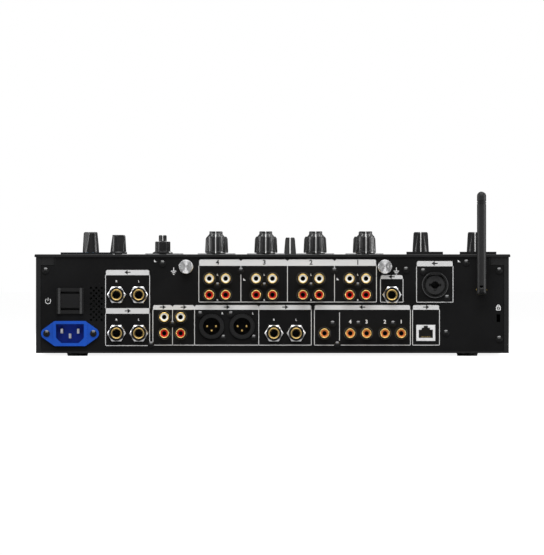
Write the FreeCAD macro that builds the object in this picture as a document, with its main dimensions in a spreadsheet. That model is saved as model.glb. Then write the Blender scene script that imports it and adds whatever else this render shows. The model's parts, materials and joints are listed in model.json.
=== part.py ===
import FreeCAD, Part
import math
import os
import re

from FreeCAD import Placement, Rotation, Vector

# A four-channel club mixer as an assembly of separate pieces, in millimetres.
# +Z is up and z = 0 is the plane of the feet. The operator stands at -Y and the sockets face +Y.
# The origin lies below the middle of the whole object.

# Driving dimensions. What belongs together is counted from its neighbour, and the outer ones from the case.
SIZES = {
    # Case
    "panel_width": 407.6,
    "panel_thickness": 2.4,
    "panel_overhang": 1.2,
    "panel_chamfer": 0.6,
    "case_depth": 440.5,
    "case_height": 82.3,
    "side_wall": 4.1,
    "floor_wall": 1.6,
    "front_wall": 2.0,
    "rear_wall": 1.6,
    "fit_gap": 0.3,
    "run_gap": 0.05,
    "ear_width": 11.3,
    "ear_height": 6.9,
    "ear_depth": 6.0,
    "foot_height": 2.6,
    "foot_radius": 9.25,
    "foot_taper": 0.8,
    "foot_inset_x": 35.0,
    "foot_inset_y": 38.0,
    # Columns and rows of the top panel: the colour row, the cue row and the faders each from the one before
    "first_channel_x": -80.47,
    "channel_pitch": 43.08,
    "selector_inset": 32.2,
    "trim_gap": 23.5,
    "knob_pitch": 23.2,
    "colour_inset": 36.6,
    "cue_inset": 9.6,
    "fader_inset": 77.7,
    "crossfader_inset": 34.0,
    "master_x": 45.73,
    "master_inset": 56.0,
    "effect_depth_side": 42.6,
    "effect_depth_inset": 262.0,
    "effect_select_side": 68.6,
    "effect_select_inset": 140.0,
    "headphone_mix_side": 71.9,
    "headphone_level_side": 24.1,
    "headphone_inset": 260.0,
    # Knobs
    "spindle_radius": 3.0,
    "spindle_grip": 4.0,
    "shaft_hole_gap": 0.6,
    "knob_lift": 0.5,
    "tall_radius": 8.15,
    "tall_rim_radius": 7.5,
    "tall_body": 14.8,
    "tall_shoulder": 2.1,
    "tall_cap_radius": 5.65,
    "tall_cap": 2.5,
    "selector_skirt_radius": 7.5,
    "selector_skirt": 3.6,
    "selector_radius": 5.5,
    "selector_body": 10.6,
    "selector_top_radius": 4.9,
    "selector_bevel": 0.8,
    "colour_radius": 10.1,
    "colour_rim_radius": 9.6,
    "colour_body": 12.2,
    "colour_top_radius": 8.6,
    "colour_bevel": 2.0,
    "slim_radius": 7.1,
    "slim_rim_radius": 6.15,
    "slim_body": 18.6,
    "slim_top_radius": 5.5,
    "slim_bevel": 1.0,
    "flange_radius": 7.65,
    "flange_height": 2.2,
    "effect_radius": 6.75,
    "effect_rim_radius": 5.9,
    "effect_body": 13.2,
    "effect_top_radius": 5.2,
    "effect_bevel": 1.2,
    "outer_flange_radius": 8.75,
    "outer_flange": 2.0,
    "outer_radius": 6.5,
    "outer_body": 8.6,
    "inner_radius": 3.45,
    "inner_body": 5.0,
    "inner_spindle_radius": 1.6,
    "outer_bore_gap": 0.4,
    # Faders and buttons
    "fader_travel": 60.0,
    "crossfader_travel": 45.0,
    "fader_cap_width": 11.0,
    "fader_cap_length": 21.0,
    "fader_cap_height": 12.6,
    "fader_top_width": 8.6,
    "fader_top_length": 15.0,
    "crossfader_cap_height": 15.4,
    "crossfader_top_width": 7.3,
    "stem_width": 2.0,
    "stem_length": 5.0,
    "stem_depth": 6.0,
    "slot_gap": 0.7,
    "fader_body_width": 9.0,
    "fader_body_end": 7.0,
    "cue_width": 13.0,
    "cue_length": 8.0,
    "cue_proud": 2.6,
    "cue_below": 2.0,
    "cue_gap": 0.4,
    # Plates, bezels and boards
    "plate_width": 32.7,
    "plate_length": 69.0,
    "plate_height": 1.2,
    "plate_inset": 157.4,
    "bezel_width": 31.2,
    "bezel_length": 15.0,
    "bezel_height": 2.2,
    "bezel_inset": 20.0,
    "bezel_mix_side": 71.9,
    "bezel_level_side": 26.1,
    "port_width": 12.6,
    "port_length": 5.4,
    "port_depth": 9.0,
    "port_wall": 1.0,
    "screen_width": 44.0,
    "screen_length": 62.0,
    "screen_height": 1.7,
    "screen_side": 42.6,
    "screen_inset": 30.0,
    "pot_width": 11.0,
    "pot_height": 7.0,
    "pot_floor": 1.5,
    "board_thickness": 1.6,
    "board_inset": 28.0,
    "board_side_gap": 8.0,
    "switch_body": 6.0,
    "switch_height": 3.0,
    "standoff_radius": 3.0,
    "standoff_height": 6.0,
    "standoff_inset": 12.0,
    "main_board_front": 24.0,
    "power_board_width": 90.0,
    "power_board_length": 150.0,
    "power_board_lift": 20.0,
    "socket_board_gap": 26.0,
    "socket_board_height": 64.0,
    # Rear sockets: the upper row from the top panel, the lower one from the floor. The columns below run
    # from the mains inlet on, the upper ones from the combined socket on, each from the one before
    "lower_row": 17.05,
    "upper_row": 32.3,
    "cinch_row_gap": 13.9,
    "cinch_pair": 14.0,
    "line_block_x": 29.25,
    "line_pitch": 40.05,
    "record_x": 38.45,
    "digital_out_x": 33.75,
    "digital_block_x": 29.05,
    "digital_pitch": 29.7,
    "cinch_radius": 4.13,
    "cinch_wall": 0.85,
    "cinch_reach": 8.4,
    "cinch_insert_setback": 0.7,
    "cinch_pin_radius": 1.6,
    "cinch_hole_gap": 0.8,
    "housing_margin": 6.0,
    "housing_depth": 14.0,
    "return_x": 49.35,
    "booth_x": 49.9,
    "second_mic_x": 37.0,
    "jack_pair": 19.1,
    "jack_collar_radius": 6.1,
    "jack_collar_reach": 3.4,
    "jack_ring_radius": 4.7,
    "jack_ring_seat": 0.6,
    "jack_ring_proud": 0.5,
    "jack_bore_radius": 3.25,
    "jack_body_width": 15.0,
    "jack_body_depth": 20.0,
    "jack_back_wall": 2.0,
    "nut_across": 14.0,
    "nut_thickness": 2.6,
    "headphone_jack_side": 48.0,
    "headphone_jack_row": 40.0,
    "outlet_x": 46.55,
    "outlet_pitch": 26.1,
    "outlet_row": 23.0,
    "outlet_radius": 10.7,
    "outlet_reach": 2.2,
    "outlet_bore_radius": 7.4,
    "outlet_bore_depth": 15.0,
    "outlet_floor": 3.0,
    "outlet_pin_radius": 1.2,
    "outlet_pin_length": 11.0,
    "outlet_pin_side": 3.8,
    "outlet_pin_drop": 3.7,
    "outlet_screw_x": 0.85,
    "outlet_screw_z": 0.6,
    "combo_side": 63.2,
    "combo_row": 23.9,
    "combo_radius": 10.8,
    "combo_rim": 0.9,
    "combo_reach": 1.6,
    "combo_disc_radius": 8.05,
    "combo_disc_setback": 0.6,
    "combo_groove": 7.0,
    "combo_depth": 20.0,
    "combo_slot_width": 10.5,
    "combo_slot_height": 2.4,
    "combo_slot_depth": 9.0,
    "combo_screw_x": 10.3,
    "combo_screw_z": 11.4,
    "latch_width": 9.0,
    "latch_height": 2.6,
    "latch_low": 8.7,
    "latch_proud": 3.0,
    "latch_depth": 5.0,
    "latch_travel": 1.5,
    "network_side": 28.05,
    "network_row": 17.35,
    "network_width": 16.2,
    "network_height": 13.7,
    "network_reach": 0.8,
    "network_depth": 18.0,
    "network_bore_width": 12.1,
    "network_bore_height": 7.0,
    "network_bore_base": 2.6,
    "network_bore_depth": 14.0,
    "network_step_height": 1.7,
    "network_step_width": 7.1,
    "network_key_width": 3.5,
    # Mains inlet and power switch
    "inlet_side": 29.2,
    "inlet_row": 16.8,
    "inlet_flat": 26.4,
    "inlet_flange_height": 21.5,
    "inlet_flange": 2.4,
    "inlet_boss": 0.6,
    "inlet_boss_margin": 2.85,
    "inlet_screw_pitch": 40.1,
    "inlet_end_radius": 4.75,
    "inlet_bore_width": 23.8,
    "inlet_bore_height": 16.3,
    "inlet_bore_corner": 4.4,
    "inlet_bore_depth": 16.0,
    "inlet_wall": 1.5,
    "inlet_floor": 3.0,
    "blade_width": 2.0,
    "blade_height": 4.0,
    "blade_length": 13.0,
    "blade_pitch": 14.0,
    "blade_rise": 2.1,
    "switch_side": 29.3,
    "switch_row": 44.8,
    "switch_width": 23.2,
    "switch_frame_height": 22.1,
    "switch_flange": 1.4,
    "switch_rim": 1.6,
    "switch_depth": 16.0,
    "guard_width": 1.9,
    "guard_reach": 4.6,
    "rocker_width": 16.0,
    "rocker_half": 6.05,
    "rocker_back_half": 5.0,
    "rocker_depth": 7.0,
    "rocker_high": 3.6,
    "rocker_low": 1.6,
    "rocker_swing_gap": 1.9,
    "rocker_axis_depth": 2.0,
    "trunnion_radius": 1.2,
    "trunnion_length": 1.0,
    # Vents, lock slot, screws and ground terminals
    "vent_radius": 1.0,
    "vent_x": 22.5,
    "vent_top": 55.9,
    "vent_pitch": 4.56,
    "vent_rows": 7,
    "lock_side": 9.0,
    "lock_row": 30.05,
    "lock_width": 3.0,
    "lock_height": 6.5,
    "screw_head_radius": 2.85,
    "screw_head_top_radius": 1.7,
    "screw_head": 1.7,
    "screw_shank_radius": 1.3,
    "screw_length": 6.0,
    "screw_hole_gap": 0.2,
    "recess_length": 2.7,
    "recess_width": 0.65,
    "recess_depth": 0.9,
    "block_screw_rise": 7.7,
    "header_screw_rise": 20.4,
    "digital_screw_rise": 7.8,
    "corner_screw_side": 8.2,
    "corner_screw_row": 11.8,
    "corner_screw_low": 11.9,
    "edge_screw_row": 7.15,
    "edge_screw_first_x": 20.05,
    "edge_screw_second_x": 11.0,
    "ground_x": 27.0,
    "ground_mic_x": 6.0,
    "ground_row": 8.3,
    "ground_radius": 6.1,
    "ground_head": 6.0,
    "ground_shank_radius": 2.0,
    "ground_screw_rise": 2.6,
    "ground_screw_x": 20.15,
    "ground_mic_screw_x": 18.0,
    "ground_mic_screw_drop": 2.9,
    "antenna_screw_side": 36.4,
    "antenna_screw_row": 5.0,
    "network_screw_side": 17.4,
    # Antenna
    "antenna_side": 23.6,
    "antenna_row": 54.4,
    "antenna_top": 138.4,
    "whip_radius": 3.95,
    "whip_groove_radius": 3.6,
    "whip_groove": 0.8,
    "whip_groove_drop": 9.0,
    "whip_groove_pitch": 1.7,
    "connector_across": 8.0,
    "connector_nut": 2.0,
    "connector_radius": 3.1,
    "connector_reach": 3.7,
    "connector_depth": 10.0,
    "knuckle_radius": 4.2,
    "knuckle_flange": 1.6,
    "spigot_radius": 1.5,
    "spigot_length": 5.0,
    "tongue_width": 2.6,
    "tongue_radius": 3.0,
    "pivot_pin_radius": 0.9,
    "pivot_gap": 0.5,
}

CHANNELS = 4
EIGHTH_TURN = Rotation(Vector(0, 1, 0), 45)
UPRIGHT = Rotation(Vector(1, 0, 0), 90)
TO_REAR = Rotation(Vector(1, 0, 0), -90)
TO_FRONT = Rotation(Vector(1, 0, 0), 90)
TO_RIGHT = Rotation(Vector(0, 1, 0), 90)

# Places that many pieces share, in terms of the driving dimensions.
CASE_WIDTH = "(panel_width - 2 * panel_overhang)"
PIVOT_REACH = "(connector_reach + fit_gap + knuckle_flange + pivot_gap + whip_radius)"
FRONT = f"((jack_collar_reach + jack_ring_proud - case_depth - {PIVOT_REACH} - whip_radius) / 2)"
REAR = f"({FRONT} + case_depth)"
LEFT = f"(-{CASE_WIDTH} / 2)"
RIGHT = f"({CASE_WIDTH} / 2)"
PANEL_BASE = "(foot_height + case_height)"
PANEL_TOP = f"({PANEL_BASE} + panel_thickness)"
PANEL_REAR = f"({REAR} + panel_overhang)"
BOARD_TOP = f"({PANEL_BASE} - fit_gap - pot_height)"
SPINDLE_END = f"({PANEL_BASE} - fit_gap - spindle_grip)"
STEM_END = f"({PANEL_BASE} - stem_depth)"

# Columns and rows of the top panel
LAST_CHANNEL = f"(first_channel_x + {CHANNELS - 1} * channel_pitch)"
CHANNEL_MIDDLE = f"(first_channel_x + channel_pitch * {(CHANNELS - 1) / 2})"
PLATE_TOP = f"({PANEL_TOP} + plate_height)"
PLATE_REAR = f"({PANEL_REAR} - plate_inset)"
PLATE_MIDDLE = f"({PLATE_REAR} - plate_length / 2)"
CUE_Y = f"({PLATE_REAR} - plate_length - cue_inset)"
FADER_MIDDLE = f"({CUE_Y} - fader_inset)"
CROSSFADER_Y = f"({FRONT} + crossfader_inset)"
MASTER_X = f"({LAST_CHANNEL} + master_x)"
MASTER_Y = f"({PANEL_REAR} - master_inset)"
EFFECT_DEPTH = (f"({RIGHT} - effect_depth_side)", f"({PANEL_REAR} - effect_depth_inset)")
EFFECT_SELECT = (f"({RIGHT} - effect_select_side)", f"({PANEL_REAR} - effect_select_inset)")
HEADPHONE_MIX = (f"({LEFT} + headphone_mix_side)", f"({PANEL_REAR} - headphone_inset)")
HEADPHONE_LEVEL = (f"({LEFT} + headphone_level_side)", f"({PANEL_REAR} - headphone_inset)")
BEZEL_Y = f"({PANEL_REAR} - bezel_inset)"

# Columns and rows of the rear panel, and the socket in the front wall
LOWER_ROW = "(foot_height + lower_row)"
UPPER_ROW = f"({PANEL_BASE} - upper_row)"
GROUND_ROW = f"({PANEL_BASE} - ground_row)"
INLET = (f"({RIGHT} - inlet_side)", "(foot_height + inlet_row)")
SWITCH = (f"({RIGHT} - switch_side)", "(foot_height + switch_row)")
VENT_X = f"({SWITCH[0]} - vent_x)"
RETURN_X = f"({INLET[0]} - return_x)"
RECORD_X = f"({RETURN_X} - record_x)"
OUTLET_X = f"({RECORD_X} - outlet_x)"
BOOTH_X = f"({OUTLET_X} - booth_x)"
DIGITAL_OUT_X = f"({BOOTH_X} - digital_out_x)"
DIGITAL_X = f"({DIGITAL_OUT_X} - digital_block_x)"
NETWORK = (f"({DIGITAL_X} - digital_pitch - network_side)", "(foot_height + network_row)")
COMBO = (f"({LEFT} + combo_side)", f"({PANEL_BASE} - combo_row)")
SECOND_MIC_X = f"({COMBO[0]} + second_mic_x)"
LAST_LINE_X = f"({SECOND_MIC_X} + line_block_x)"
FIRST_LINE_X = f"({LAST_LINE_X} + {CHANNELS - 1} * line_pitch)"
GROUND_X = f"({FIRST_LINE_X} + ground_x)"
GROUND_MIC_X = f"({SECOND_MIC_X} + ground_mic_x)"
PIVOT_Y = f"({REAR} + {PIVOT_REACH})"
ANTENNA_X = f"({LEFT} + antenna_side)"
ANTENNA_Z = "(foot_height + antenna_row)"
HEADPHONE_JACK = (f"({LEFT} + headphone_jack_side)", "(foot_height + headphone_jack_row)")

doc = FreeCAD.newDocument("mixer")
sheet = doc.addObject("Spreadsheet::Sheet", "dims")
for line, (alias, number) in enumerate(SIZES.items(), start=1):
    sheet.set(f"A{line}", alias)
    sheet.set(f"B{line}", str(number))
    sheet.setAlias(f"B{line}", alias)
doc.recompute()


def size(alias):
    """One driving dimension, as a number."""
    return float(sheet.get(alias))


def formula(words):
    """An expression in which every size's name is read from the sheet."""
    return re.sub(r"\b[a-z]\w*\b(?!\()", lambda found: "dims." + found.group(0), words)


def bind(obj, **formulas):
    for name, words in formulas.items():
        obj.setExpression(name, formula(words))
    return obj


def place(obj, at, turn=Rotation()):
    obj.Placement = Placement(Vector(), turn)
    for axis, words in zip("xyz", at):
        obj.setExpression("Placement.Base." + axis, formula(words))
    return obj


# Building blocks


def block(at, width, depth, height):
    """A box centred on at in X and Y, standing on at in Z."""
    obj = bind(doc.addObject("Part::Box", "block"), Length=width, Width=depth, Height=height)
    x, y, z = at
    return place(obj, (f"{x} - ({width}) / 2", f"{y} - ({depth}) / 2", z))


def slab(at, width, height, start, end):
    """A box centred on at, an (x, z) pair, that runs in Y from start to end."""
    obj = bind(doc.addObject("Part::Box", "slab"), Length=width, Width=f"{end} - ({start})", Height=height)
    x, z = at
    return place(obj, (f"{x} - ({width}) / 2", start, f"{z} - ({height}) / 2"))


def rod(at, radius, length, turn=Rotation()):
    obj = bind(doc.addObject("Part::Cylinder", "rod"), Radius=radius, Height=length)
    return place(obj, at, turn)


def bar(at, radius, start, end):
    """A round bar about at, an (x, z) pair, that runs in Y from start to end."""
    return rod((at[0], start, at[1]), radius, f"{end} - ({start})", TO_REAR)


def frustum(at, low, high, length, turn=Rotation()):
    obj = bind(doc.addObject("Part::Cone", "frustum"), Radius1=low, Radius2=high, Height=length)
    return place(obj, at, turn)


def hexagon(at, across, length, turn):
    obj = doc.addObject("Part::Prism", "hexagon")
    obj.Polygon = 6
    bind(obj, Circumradius=f"{across} / sqrt(3)", Height=length)
    return place(obj, at, turn)


def taper(at, low, high, height):
    """A block on at that narrows from its low (x, y) size to its high one."""
    obj = doc.addObject("Part::Wedge", "taper")
    bind(obj, Xmin=f"-({low[0]}) / 2", Xmax=f"{low[0]} / 2", Zmin=f"-({low[1]}) / 2", Zmax=f"{low[1]} / 2")
    bind(obj, X2min=f"-({high[0]}) / 2", X2max=f"{high[0]} / 2")
    bind(obj, Z2min=f"-({high[1]}) / 2", Z2max=f"{high[1]} / 2")
    bind(obj, Ymin="0", Ymax=height)
    return place(obj, at, UPRIGHT)


def group(pieces):
    obj = doc.addObject("Part::Compound", "group")
    obj.Links = list(pieces)
    return obj


def fuse(pieces):
    obj = doc.addObject("Part::MultiFuse", "fuse")
    obj.Shapes = list(pieces)
    obj.Refine = True
    return obj


def shared(pieces):
    """What all the pieces have in common."""
    obj = doc.addObject("Part::MultiCommon", "shared")
    obj.Shapes = list(pieces)
    return obj


def cut(base, tools):
    obj = doc.addObject("Part::Cut", "cut")
    obj.Base = base
    obj.Tool = group(tools)
    return obj


def turned(x, y, z, stack):
    """Round sections stacked upward from z, each a (low radius, high radius, height)."""
    pieces = []
    for low, high, height in stack:
        at = (x, y, z)
        pieces.append(rod(at, low, height) if low == high else frustum(at, low, high, height))
        z = f"({z} + {height})"
    return pieces


nodes = {}


def node(label, obj):
    obj.Label = label
    nodes[label] = obj


# Places of the sockets, as (x, z) pairs


def channel_x(index):
    return f"(first_channel_x + {index} * channel_pitch)"


def line_x(index):
    return f"({FIRST_LINE_X} - {index} * line_pitch)"


def pair(middle, pitch):
    return [f"({middle} + {pitch} / 2)", f"({middle} - {pitch} / 2)"]


def quad_places(middle, row):
    """Two columns of two cinch sockets: the upper row first."""
    rows = [f"({row} + cinch_row_gap)", row]
    return [(x, z) for z in rows for x in pair(middle, "cinch_pair")]


def digital_blocks():
    return [f"({DIGITAL_X} - {index} * digital_pitch)" for index in range(2)]


def cinch_places():
    places = []
    for index in range(CHANNELS):
        places += quad_places(line_x(index), UPPER_ROW)
    places += quad_places(RECORD_X, LOWER_ROW)
    places.append((DIGITAL_OUT_X, LOWER_ROW))
    for middle in digital_blocks():
        places += [(x, LOWER_ROW) for x in pair(middle, "cinch_pair")]
    return places


def jack_places():
    places = [(x, z) for z in (UPPER_ROW, LOWER_ROW) for x in pair(RETURN_X, "jack_pair")]
    places += [(x, LOWER_ROW) for x in pair(BOOTH_X, "jack_pair")]
    return places + [(SECOND_MIC_X, UPPER_ROW)]


def outlet_places():
    return [(x, "(foot_height + outlet_row)") for x in pair(OUTLET_X, "outlet_pitch")]


def ground_places():
    return [(GROUND_X, GROUND_ROW), (GROUND_MIC_X, GROUND_ROW)]


def diagonal(at, side, rise):
    """The two screw places of a socket, up on one side and down on the other."""
    return [(f"({at[0]} + {side})", f"({at[1]} + {rise})"), (f"({at[0]} - {side})", f"({at[1]} - {rise})")]


def panel_screw_places():
    """Screws whose heads sit on the rear panel itself."""
    corner = f"({PANEL_BASE} - corner_screw_row)"
    edge = "(foot_height + edge_screw_row)"
    places = [(f"({RIGHT} - corner_screw_side)", corner), (f"({LEFT} + corner_screw_side)", corner)]
    places.append((f"({LEFT} + corner_screw_side)", "(foot_height + corner_screw_low)"))
    places.append((f"({RETURN_X} - edge_screw_first_x)", edge))
    places.append((f"({DIGITAL_OUT_X} - edge_screw_second_x)", edge))
    places += [(line_x(index), f"({UPPER_ROW} + block_screw_rise)") for index in range(CHANNELS)]
    places += [(f"({FIRST_LINE_X} - {share} * line_pitch)", f"({UPPER_ROW} + header_screw_rise)")
               for share in (0.5, 2.5)]
    places += [(x, f"({LOWER_ROW} + digital_screw_rise)") for x in [RECORD_X] + digital_blocks()]
    places.append((f"({DIGITAL_OUT_X} - cinch_pair / 2)", f"({LOWER_ROW} + digital_screw_rise)"))
    places.append((f"({GROUND_X} + ground_screw_x)", f"({GROUND_ROW} + ground_screw_rise)"))
    places.append((f"({GROUND_MIC_X} - ground_mic_screw_x)", f"({GROUND_ROW} - ground_mic_screw_drop)"))
    places.append((f"({LEFT} + antenna_screw_side)", f"({PANEL_BASE} - antenna_screw_row)"))
    places.append((f"({NETWORK[0]} - network_screw_side)", LOWER_ROW))
    for outlet in outlet_places():
        places += diagonal(outlet, "(outlet_radius - outlet_screw_x)", "(outlet_radius - outlet_screw_z)")
    return places + diagonal(COMBO, "combo_screw_x", "combo_screw_z")


def inlet_screw_places():
    return [(x, INLET[1]) for x in pair(INLET[0], "inlet_screw_pitch")]


# Case


def make_tray():
    """Floor, side walls and front wall in one, with an ear at each upper rear corner."""
    middle = f"({FRONT} + case_depth / 2)"
    outer = block(("0", middle, "foot_height"), CASE_WIDTH, "case_depth", "case_height")
    inside_depth = "case_depth - front_wall"
    hollow = block(
        ("0", f"({FRONT} + front_wall + ({inside_depth}) / 2 + fit_gap)", "(foot_height + floor_wall)"),
        f"{CASE_WIDTH} - 2 * side_wall",
        f"{inside_depth} + 2 * fit_gap",
        "case_height",
    )
    jack = bar(HEADPHONE_JACK, "jack_collar_radius + fit_gap", f"{FRONT} - fit_gap",
               f"{FRONT} + front_wall + fit_gap")
    ears = []
    for side in (1, -1):
        x = f"({side} * ({RIGHT} - side_wall - ear_width / 2))"
        z = f"({PANEL_BASE} - ear_height / 2)"
        ears.append(slab((x, z), "ear_width", "ear_height", f"{REAR} - ear_depth", f"{REAR} - fit_gap"))
    node("chassis_tray", fuse([cut(outer, [hollow, jack])] + ears))


def make_rear_panel():
    width = f"({CASE_WIDTH} - 2 * side_wall - 2 * fit_gap)"
    height = "(case_height - floor_wall)"
    middle = f"(foot_height + floor_wall + {height} / 2)"
    near = f"{REAR} - rear_wall - fit_gap"
    far = f"{REAR} + fit_gap"
    tools = []
    for side in (1, -1):
        x = f"({side} * ({RIGHT} - side_wall - ear_width / 2))"
        notch = (x, f"({PANEL_BASE} - ear_height / 2)")
        tools.append(slab(notch, "ear_width + 2 * fit_gap", "ear_height + 2 * fit_gap", near, far))
    tools += [bar(at, "cinch_radius + cinch_hole_gap", near, far) for at in cinch_places()]
    tools += [bar(at, "jack_collar_radius + fit_gap", near, far) for at in jack_places()]
    tools += [bar(at, "outlet_radius + fit_gap", near, far) for at in outlet_places()]
    tools += [bar(at, "ground_shank_radius + fit_gap", near, far) for at in ground_places()]
    for at in panel_screw_places() + inlet_screw_places():
        tools.append(bar(at, "screw_shank_radius + screw_hole_gap", near, far))
    tools.append(bar(COMBO, "combo_radius + fit_gap", near, far))
    tools.append(latch_space(near, far))
    tools.append(slab(NETWORK, "network_width + 2 * fit_gap", "network_height + 2 * fit_gap", near, far))
    tools.append(slab(INLET, "inlet_bore_width + 2 * inlet_wall + 2 * fit_gap",
                      "inlet_bore_height + 2 * inlet_wall + 2 * fit_gap", near, far))
    tools.append(slab(SWITCH, "switch_width - 2 * switch_rim + 2 * fit_gap",
                      "switch_frame_height - 2 * switch_rim + 2 * fit_gap", near, far))
    tools.append(slab((f"({LEFT} + lock_side)", "(foot_height + lock_row)"), "lock_width", "lock_height",
                      near, far))
    tools.append(bar((ANTENNA_X, ANTENNA_Z), "connector_radius + fit_gap", near, far))
    for row in range(2 * int(size("vent_rows")) - 1):
        columns = (-1, 0, 1) if row % 2 == 0 else (-0.5, 0.5)
        z = f"(foot_height + vent_top - {row} * vent_pitch / 2)"
        tools += [bar((f"({VENT_X} + {column} * vent_pitch)", z), "vent_radius", near, far) for column in columns]
    plate = slab(("0", middle), width, height, f"{REAR} - rear_wall", REAR)
    node("rear_panel", cut(plate, tools))


def latch_space(start, end):
    x, z = COMBO
    at = (x, f"({z} + latch_low + latch_height / 2)")
    return slab(at, "latch_width + 2 * fit_gap", "latch_height + 2 * fit_gap", start, end)


def knob_places():
    """Every spindle's (x, y) on the top panel."""
    places = []
    for index in range(CHANNELS):
        places += [(channel_x(index), y) for y in channel_rows().values()]
    return places + [(MASTER_X, MASTER_Y), EFFECT_DEPTH, EFFECT_SELECT, HEADPHONE_MIX, HEADPHONE_LEVEL]


def channel_rows():
    selector = f"({PANEL_REAR} - selector_inset)"
    trim = f"({selector} - trim_gap)"
    rows = {"selector": selector, "trim": trim}
    for step, name in enumerate(("high", "mid", "low"), start=1):
        rows[name] = f"({trim} - {step} * knob_pitch)"
    rows["colour"] = f"({PLATE_REAR} - colour_inset)"
    return rows


def bezel_places():
    return [(f"({LEFT} + bezel_mix_side)", BEZEL_Y), (f"({LEFT} + bezel_level_side)", BEZEL_Y)]


def make_top_panel():
    middle = f"({FRONT} + case_depth / 2)"
    plate = block(("0", middle, PANEL_BASE), "panel_width", "case_depth + 2 * panel_overhang",
                  "panel_thickness")
    doc.recompute()
    rim = doc.addObject("Part::Chamfer", "rim")
    rim.Base = plate
    top = plate.Shape.BoundBox.ZMax
    edges = [number for number, edge in enumerate(plate.Shape.Edges, start=1)
             if abs(edge.BoundBox.ZMin - top) < size("run_gap")]
    rim.Edges = [(number, size("panel_chamfer"), size("panel_chamfer")) for number in edges]
    low = f"({PANEL_BASE} - fit_gap)"
    through = "panel_thickness + 2 * fit_gap"
    tools = [rod((x, y, low), "spindle_radius + shaft_hole_gap", through) for x, y in knob_places()]
    for index in range(CHANNELS):
        tools.append(block((channel_x(index), FADER_MIDDLE, low), "stem_width + 2 * slot_gap",
                           "fader_travel + stem_length + 2 * slot_gap", through))
        tools.append(block((channel_x(index), CUE_Y, low), "cue_width + 2 * cue_gap",
                           "cue_length + 2 * cue_gap", through))
    tools.append(block((CHANNEL_MIDDLE, CROSSFADER_Y, low),
                       "crossfader_travel + stem_length + 2 * slot_gap", "stem_width + 2 * slot_gap", through))
    for x, y in bezel_places():
        tools.append(block((x, y, low), "port_width + 2 * port_wall", "port_length + 2 * port_wall", through))
    node("top_panel", cut(rim, tools))


def make_feet():
    feet = []
    for side in (1, -1):
        x = f"({side} * ({RIGHT} - foot_inset_x))"
        for y in (f"({FRONT} + foot_inset_y)", f"({REAR} - foot_inset_y)"):
            feet.append(frustum((x, y, "0"), "foot_radius - foot_taper", "foot_radius", "foot_height"))
    node("rubber_feet", group(feet))


def screw(at, seat):
    """A cross-head screw in the rear panel, its head on the seat."""
    x, z = at
    head_end = f"({seat} + screw_head)"
    shank = bar(at, "screw_shank_radius", f"{seat} - screw_length", seat)
    head = frustum((x, seat, z), "screw_head_radius", "screw_head_top_radius", "screw_head", TO_REAR)
    arms = [slab(at, width, height, f"{head_end} - recess_depth", f"{head_end} + fit_gap")
            for width, height in (("recess_length", "recess_width"), ("recess_width", "recess_length"))]
    return cut(fuse([shank, head]), arms)


def make_screws():
    screws = [screw(at, REAR) for at in panel_screw_places()]
    screws += [screw(at, f"({REAR} + inlet_flange)") for at in inlet_screw_places()]
    node("case_screws", group(screws))


# Sockets of the rear panel


def cinch_housing(middle, columns, rows, lowest):
    width = f"{columns - 1} * cinch_pair + 2 * housing_margin"
    height = f"{rows - 1} * cinch_row_gap + 2 * housing_margin"
    at = (middle, f"({lowest} + {rows - 1} * cinch_row_gap / 2)")
    return slab(at, width, height, f"{REAR} - rear_wall - housing_depth", f"{REAR} - rear_wall")


def make_cinch_sockets():
    back = f"{REAR} - rear_wall"
    front = f"({REAR} + cinch_reach)"
    pieces = []
    for at in cinch_places():
        shell = bar(at, "cinch_radius", back, front)
        pieces.append(cut(shell, [bar(at, "cinch_radius - cinch_wall", back, f"{front} + fit_gap")]))
        insert = bar(at, "cinch_radius - cinch_wall - run_gap", back, f"{front} - cinch_insert_setback")
        pieces.append(cut(insert, [bar(at, "cinch_pin_radius", back, front)]))
    blocks = [(line_x(index), 2, 2, UPPER_ROW) for index in range(CHANNELS)]
    blocks += [(RECORD_X, 2, 2, LOWER_ROW), (DIGITAL_OUT_X, 1, 1, LOWER_ROW)]
    blocks += [(middle, 2, 1, LOWER_ROW) for middle in digital_blocks()]
    holders = [cinch_housing(*block_sizes) for block_sizes in blocks]
    screw_space = [bar(at, "screw_shank_radius + screw_hole_gap", f"{REAR} - screw_length - fit_gap", REAR)
                   for at in panel_screw_places()]
    node("cinch_sockets", group(pieces + [cut(group(holders), screw_space)]))


def jack(at, face, wall, side):
    """A jack socket behind a wall, facing +Y or -Y by side: its body with the collar, and its ring."""
    turn = TO_REAR if side > 0 else TO_FRONT

    def along(offset, radius, length):
        return rod((at[0], f"{face} + {side} * ({offset})", at[1]), radius, length, turn)

    inside = f"({face} - {side} * {wall})"
    bounds = [f"{inside} - {side} * jack_body_depth", inside]
    body = slab(at, "jack_body_width", "jack_body_width", bounds[side < 0], bounds[side > 0])
    collar = along(f"-{wall}", "jack_collar_radius", f"{wall} + jack_collar_reach")
    bore_start = f"-{wall} - jack_body_depth + jack_back_wall"
    bore_length = f"{wall} + jack_body_depth - jack_back_wall + jack_collar_reach + fit_gap"
    bore = along(bore_start, "jack_bore_radius", bore_length)
    seat = along("jack_collar_reach - jack_ring_seat", "jack_ring_radius", "jack_ring_seat + fit_gap")
    ring_length = "jack_ring_seat + jack_ring_proud"
    ring = along("jack_collar_reach - jack_ring_seat", "jack_ring_radius - run_gap", ring_length)
    hole = along("jack_collar_reach - jack_ring_seat - fit_gap", "jack_bore_radius",
                 f"{ring_length} + 2 * fit_gap")
    return [cut(fuse([body, collar]), [bore, seat]), cut(ring, [hole])]


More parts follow.
